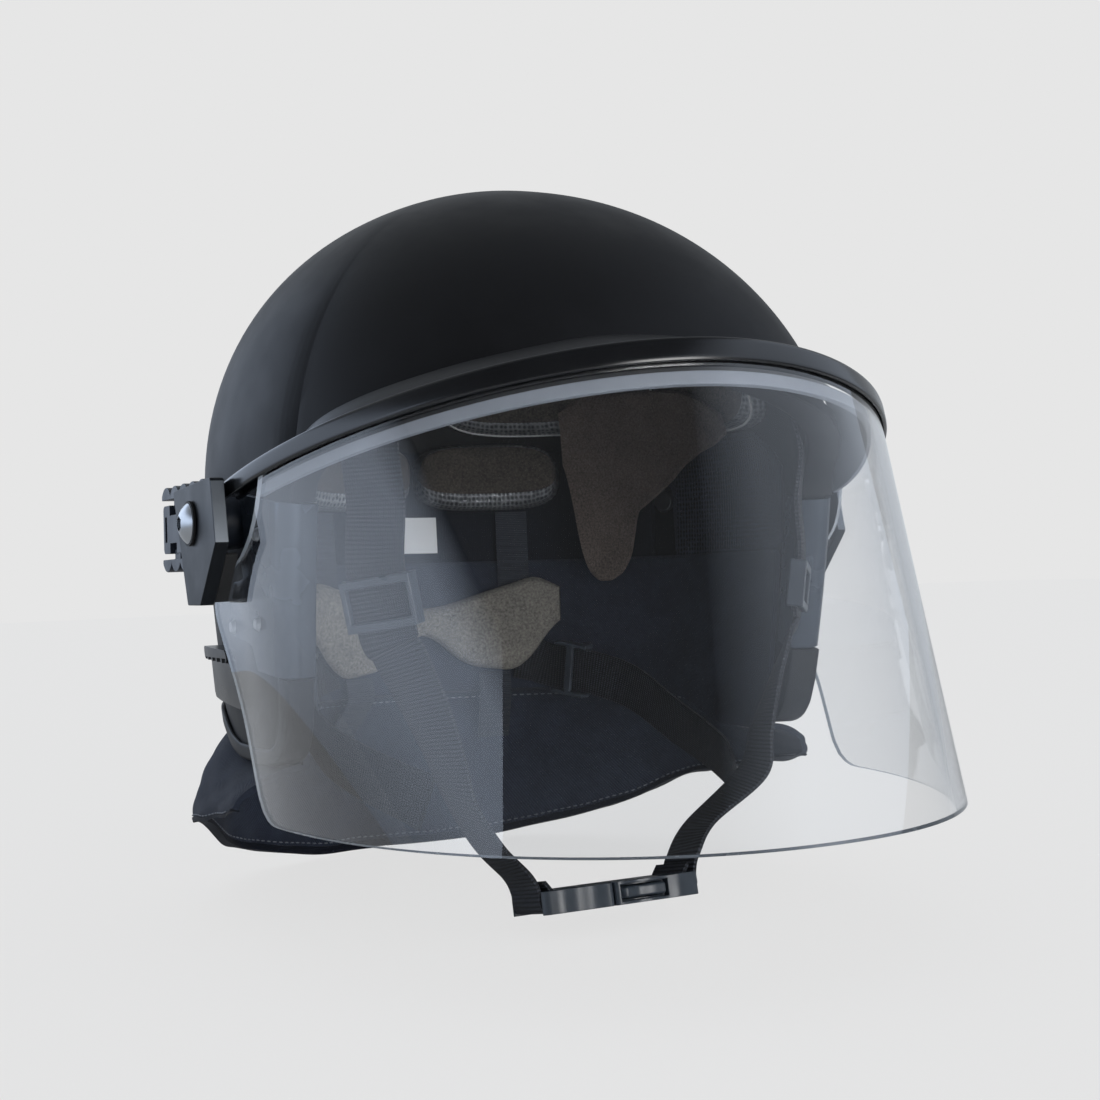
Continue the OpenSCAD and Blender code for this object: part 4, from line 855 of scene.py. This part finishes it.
# %% Crown pad
RIM_R, ROLL, DOME = 45.0, 5.0, 230
roll = np.linspace(0, np.pi / 2, 7)
inner = RIM_R - ROLL
r = np.concatenate([[0.01], np.linspace(8, inner, 8), inner + ROLL * np.sin(roll)])
z = np.concatenate([[0], np.zeros(8), ROLL - ROLL * np.cos(roll)])
r2 = np.linspace(RIM_R, 0.01, 12)
profile = np.concatenate([np.stack([r, z], 1), np.stack([r2, PAD_T - r2 ** 2 / DOME], 1)])
turn = np.linspace(0, 2 * np.pi, 72, endpoint=False)
petal = 1 + 0.012 * np.cos(6 * turn)
base_z = CROWN - WALL - 1.2 - PAD_T
crown = np.stack([profile[:, :1] * np.cos(turn) * petal, profile[:, :1] * np.sin(turn) * petal,
                  base_z + profile[:, 1:] + 0 * turn], -1)
piece = loft("crown_cushion", [crown], suede, "crown_pad", wrap_rows=False, wrap_cols=True, caps=False)

# %% [markdown]
# ## Nape pad
# The pad at the nape is narrow in its middle. Its outlines are lines of (bearing, height) for one
# side, read with rounded corners and mirrored at the back.

# %% Nape pad
NAPE_G, NAPE_T, NAPE_EDGE = -WALL - 8.8, 9, 3
low_line = [(138, -54), (142, -54), (144.5, -60), (148, -69.5), (152, -80), (158, -80), (164, -78),
            (169, -77), (173, -70), (177, -62), (180, -61)]
high_line = [(138, -45), (142, -45), (144.5, -36), (148, -35), (152, -38), (158, -41), (164, -44), (169, -47),
             (173, -49), (177, -50), (180, -50)]
s = -np.cos(np.linspace(0, np.pi, 120))
a = mix(142, 218, (s + 1) / 2)
fold = 180 - np.abs(a - 180)


def eased(line, at, width=4.5):
    """A polyline read at many points and averaged over a short width, which rounds its corners."""
    x, y = np.array(line).T
    shifts = np.linspace(-width, width, 9)
    return np.mean([np.interp(180 - np.abs(180 - (at + d)), x, y) for d in shifts], 0)


low_z, high_z = eased(low_line, fold), eased(high_line, fold)
k = np.linspace(-1, 1, 26)[:, None]
nape_hull = hull(a, mix(low_z, high_z, (k + 1) / 2), bump(s, 4) * bump(k, 3.2), NAPE_G, NAPE_T, NAPE_EDGE)
pad("nape_cushion", "nape_pad", [nape_hull], 0, 1, (nape_suede, webbing), piped=False)

# %% [markdown]
# ## Cloth and leather inside
# A cloth band runs round the back of the liner, mesh panels cover the pivots, and two straps of
# suede leather hang at the temples. Each is a thin sheet that follows the wall at its own depth.

# %% Linings
def lining(name, node, lows, highs, g, t, finish, both=False, count=90, rows=16, width=1.2, wave=0.0):
    """A sheet between a lower and an upper line of (bearing, height), laid g outside the shell."""
    a = np.linspace(lows[0][0], lows[-1][0], count)
    shifts = np.linspace(-width, width, 7)

    def read(line):
        return np.mean([np.interp(a + d, *np.array(line).T) for d in shifts], 0)

    k = np.linspace(0, 1, rows)[:, None]
    z = mix(read(lows), read(highs), k)
    depth = g - t / 2 + wave * np.sin(np.radians(a * 9)) * np.sin(k * 5)
    flips = (1, -1) if both else (1,)
    grids = [thicken(wall(flip * a + 0 * z, z, depth)[:, ::flip], t) for flip in flips]
    return loft(name, grids, finish, node, sharp=60)


BAND_LOW, BAND_HIGH = -29.4, 22.6
band = lining("liner_cloth_band", "liner_band", [(118, BAND_LOW), (242, BAND_LOW)],
              [(118, BAND_HIGH), (242, BAND_HIGH)], BAND_G, BAND_T, liner_weave, wave=0.25)
panels = lining("pivot_panels", "side_linings",
                [(69, -24), (73, -27), (79, -29), (86, -29.4), (110.8, -29.4), (111.3, 3.8), (117.8, 3.8)],
                [(69, 6), (73, 15), (79, 22), (86, 23), (110.8, 23), (111.3, 23), (117.8, 23)],
                -WALL - 2.6, 1.6, spacer_mesh, both=True, width=0.3, count=70)
LEATHER_T = 2.4
low_line = [(78, 22), (85, 18), (92, 16), (100, 11), (107, 3), (113, -3), (118, -8), (119.5, -26), (122, -34),
            (126, -38), (130, -38), (133, -33), (135, -22), (136.5, -4), (139, 18)]
high_line = [(78, 30), (85, 38), (92, 42), (100, 44), (107, 45), (130, 45), (133, 44), (135, 43), (136.5, 42),
             (139, 40)]
for side, flip in (("left", 1), ("right", -1)):
    lows, highs = [[(flip * a, z) for a, z in line[::flip]] for line in (low_line, high_line)]
    flap = lining("temple_suede_" + side, "temple_leather_" + side, lows, highs, HIGH_G - PAD_T - 0.3,
                  LEATHER_T, leather, width=0.9, count=120, rows=24)

# %% [markdown]
# ## Harness
# Webbing is a flat strap, so it is carried along a line of stations with the direction of its width
# given at each. The line is a Catmull-Rom curve, which passes through every station.

# %% Webbing
def curve_through(stations, steps=14):
    """A Catmull-Rom curve through the stations, as even steps between each two of them."""
    p = np.concatenate([2 * stations[:1] - stations[1:2], stations, 2 * stations[-1:] - stations[-2:-1]])
    t = np.linspace(0, 1, steps, endpoint=False)[None, :, None]
    a, b, c, d = (p[i:len(p) - 3 + i][:, None] for i in range(4))
    square, cube = 2 * a - 5 * b + 4 * c - d, 3 * b - a - 3 * c + d
    made = 0.5 * (2 * b + (c - a) * t + square * t ** 2 + cube * t ** 3)
    return np.concatenate([made.reshape(-1, stations.shape[1]), stations[-1:]])


def oblong(x, y, radius):
    """A rectangle of half width x and half height y with rounded corners."""
    return rounded([(-x, -y), (x, -y), (x, y), (-x, y)], radius, 3)


def strap(name, node, stations, width, flip):
    """A flat strap through stations of (middle, direction of its width), mirrored where flip is -1."""
    line = np.array([np.concatenate([p, unit(s)]) for p, s in stations]) * [flip, 1, 1, flip, 1, 1]
    line = curve_through(line)
    p, side = line[:, :3], line[:, 3:]
    along = unit(np.gradient(p, axis=0))
    deep = unit(np.cross(along, side))
    across = np.cross(deep, along)
    grid = np.array([p + across * x + deep * y for x, y in oblong(width / 2, WEB_T / 2, 0.5)])
    loft(name, [grid], webbing, node)


WEB_T = 1.6
WEB_G = PAD_G - WEB_T / 2
NAPE_STRAP_G = NAPE_G + 0.7 + WEB_T / 2
TILT, CHIN_Y, CHIN_Z = np.radians(11), -75, -151
CHIN_W, NAPE_W = 22, 20
slide, slide_step, slide_side = np.array([87.5, -75, -43.0]), 12 * unit([0.174, 0, 0.985]), [0.67, 0.74, 0]
nape, nape_step = np.array([65.2, 74.9, -80.0]), 11.5 * unit([0.46, -0.88, -0.14])


def tilted(x, y, z):
    """A point of the buckle's own frame, tilted rear edge down and put under the chin."""
    c, s = np.cos(TILT), np.sin(TILT)
    return np.array([x, y * c + z * s + CHIN_Y, z * c - y * s + CHIN_Z])


tangent = [np.cos(np.radians(50)), np.sin(np.radians(50)), 0]
edge_on = tilted(0, 1, 0) - tilted(0, 0, 0)
lean = wall(150, -66, NAPE_STRAP_G) - wall(150, -86, NAPE_STRAP_G)
front_way = [(wall(50, 24, WEB_G), tangent), (wall(50, 9, WEB_G), tangent),
             ([88.8, -75, -10], [0.66, 0.75, 0]),
             (slide + slide_step, slide_side), (slide - slide_step, slide_side),
             ([81.5, -75, -62], [0.6, 0.8, 0]), ([73, -75, -80], [0.45, 0.89, 0]),
             ([66, -75, -98], [0.25, 0.97, 0]), ([61, -75, -113], [0.1, 1, 0])]
loop = [(15, 21), (5.5, 10), (2.9, 4), (2.7, 0), (1.6, -2.2), (0, -2.8), (-1.8, -2), (-2.7, 0), (-2.1, 3.4),
        (0.4, 7)]
rear_way = [(wall(154, -74, NAPE_STRAP_G), lean), (wall(149, -76, NAPE_STRAP_G), lean),
            (nape - nape_step, [0, 0, 1]), (nape + nape_step, [0, 0, 1]),
            ([79, 42, -88], [0, 0.2, 1]), ([80, 10, -100], [0, 0.25, 1]), ([76, -20, -107], [0, 0.4, 1]),
            ([70, -44, -112], [0.1, 0.6, 0.8]), ([66, -57, -115], [0.1, 0.75, 0.66])]
for side, flip, bar in (("left", 1, 24), ("right", -1, 34)):
    round_bar = [(tilted(bar + x, 0, z), edge_on) for x, z in loop]
    strap("chin_strap_" + side, "front_strap_" + side, front_way + round_bar, CHIN_W, flip)
    strap("nape_strap_" + side, "rear_strap_" + side, rear_way, NAPE_W, flip)

# %% [markdown]
# ## Neck curtain
# Padded navy twill hangs from a seam inside the shell, passes under the edging and flares outwards.
# The sheet is a function of the share round it and the share down it, with soft folds.

# %% Curtain surface
CLOTH_T, CURTAIN_TOP, HEM_SIDE, HEM_NAPE, HEM_FLARE = 2.4, 30.0, 110.0, 162.0, 17.0
INSIDE, END_TOP, END_HEM = 0.25, 71, 80


def hem_z(a):
    """Height of the hem at a bearing: lowest at the nape, higher towards the ears."""
    x = [0, 20, 36, 50, 63, 85, 114]
    y = HEM_NAPE - (HEM_NAPE - HEM_SIDE) * np.array([0, .02, .16, .33, .6, .76, 1])
    away = np.abs(180 - a)
    return -np.mean([np.interp(np.abs(away + s), x, y) for s in np.linspace(-4, 4, 9)], 0)


def curtain(e, s, g=0.0):
    """Point at share e round the curtain, share s down it and g outside its middle."""
    e, s, g = np.broadcast_arrays(np.asarray(e, float), s, g)
    end = mix(END_TOP, END_HEM, s)
    a = mix(end, 360 - end, e)
    away = np.abs(a - 180)
    edge = edge_z(a) - TRIM_FOOT - CLOTH_T / 2 - 0.8
    below = np.maximum(0, (s - INSIDE) / (1 - INSIDE))
    z = np.where(s < INSIDE, mix(-CURTAIN_TOP, edge, s / INSIDE), mix(edge, hem_z(a), below))
    tight = -WALL - TRIM_T - CLOTH_T / 2 - 1.2
    out = HEM_FLARE * mix(0.6, 1, np.minimum(1, np.where(away < 100, 1, (114 - away) / 14)))
    fold = 1.8 * np.sin(np.radians(11 * (a - 180))) * below
    puff = 0.5 * np.sin(np.radians(31 * a + 60 * s)) * np.sin(s * 19) * np.minimum(1, below * 3)
    g = g + mix(tight, out, below ** 0.4) - 4 * below ** 5 + fold + puff
    return polar(reach(a, np.maximum(z, -EAR_DROP), g), a, z)


e = np.linspace(0, 1, 260)
s = np.concatenate([np.linspace(0, INSIDE, 14), INSIDE + 0.72 * np.linspace(0, 1, 52)[1:] ** 1.5])[:, None]
mid = curtain(e, s)
cloth = loft("neck_curtain_cloth", [thicken(mid, CLOTH_T)], twill, "neck_curtain")
folded = curtain(e, np.linspace(0.965, 1.0, 5)[:, None])
hem = loft("curtain_binding", [thicken(folded, CLOTH_T + 1.2)], tape, "curtain_hem")
out = normals(mid)
seams = []
for share_down, face in ((0.945, 1), (0.285, 1), (0.945, -1), (0.2, -1), (0.215, -1)):
    row = int(np.argmin(np.abs(s[:, 0] - share_down)))
    line = mid[row] + out[row] * (face * (CLOTH_T / 2 + 0.15))
    seams.append(stitches(f"curtain_seam_{len(seams)}", line[3:-3], thread_grey, 3.4))

# %% [markdown]
# ## Elastics
# Four elastics hold the nape pad, two from the band and two from the curtain. Each is a strip whose
# thickness swells at every rib.

# %% Elastics
ELASTIC_G, ELASTIC_W, ELASTIC_T, RIB = -WALL - 6.65, 15, 1.0, 0.3


def ribbed(path, side, ribs):
    """A strip along a path, with ribs across it."""
    along = unit(np.gradient(path, axis=0))
    deep = unit(np.cross(along, side))
    across = np.cross(deep, along) * ELASTIC_W / 2
    t = np.linspace(0, 1, len(path))
    half = ELASTIC_T / 2 + RIB * (0.5 + 0.5 * np.cos(2 * np.pi * ribs * t))
    return np.array([path + across * x + deep * (y * half)[:, None] for x, y in oblong(1, 1, 0.2)])


strips = []
for side in (-1, 1):
    z, a = np.linspace(-5, -43, 150), 180 - side * 26
    tangent = wall(a + 2, z, ELASTIC_G) - wall(a - 2, z, ELASTIC_G)
    strips.append(ribbed(wall(a, z, ELASTIC_G), tangent, 13))
    a = 180 - side * 20
    end = mix(END_TOP, END_HEM, 0.5)
    p0, p1 = wall(a, -80.4, NAPE_G - 1.7), wall(a, -90, NAPE_G - 1.7)
    p2 = curtain((a - end) / (360 - 2 * end), 0.5, -CLOTH_T / 2 - 1.1)
    line = curve_through(np.array([p0, p1, mix(p1, p2, 0.5), p2]), 40)
    tangent = (wall(a + 2, -85, -15.0) - wall(a - 2, -85, -15.0))[None] + 0 * line
    strips.append(ribbed(line, tangent, 11))
loft("nape_elastic_strips", strips, elastic, "nape_elastics", sharp=50)
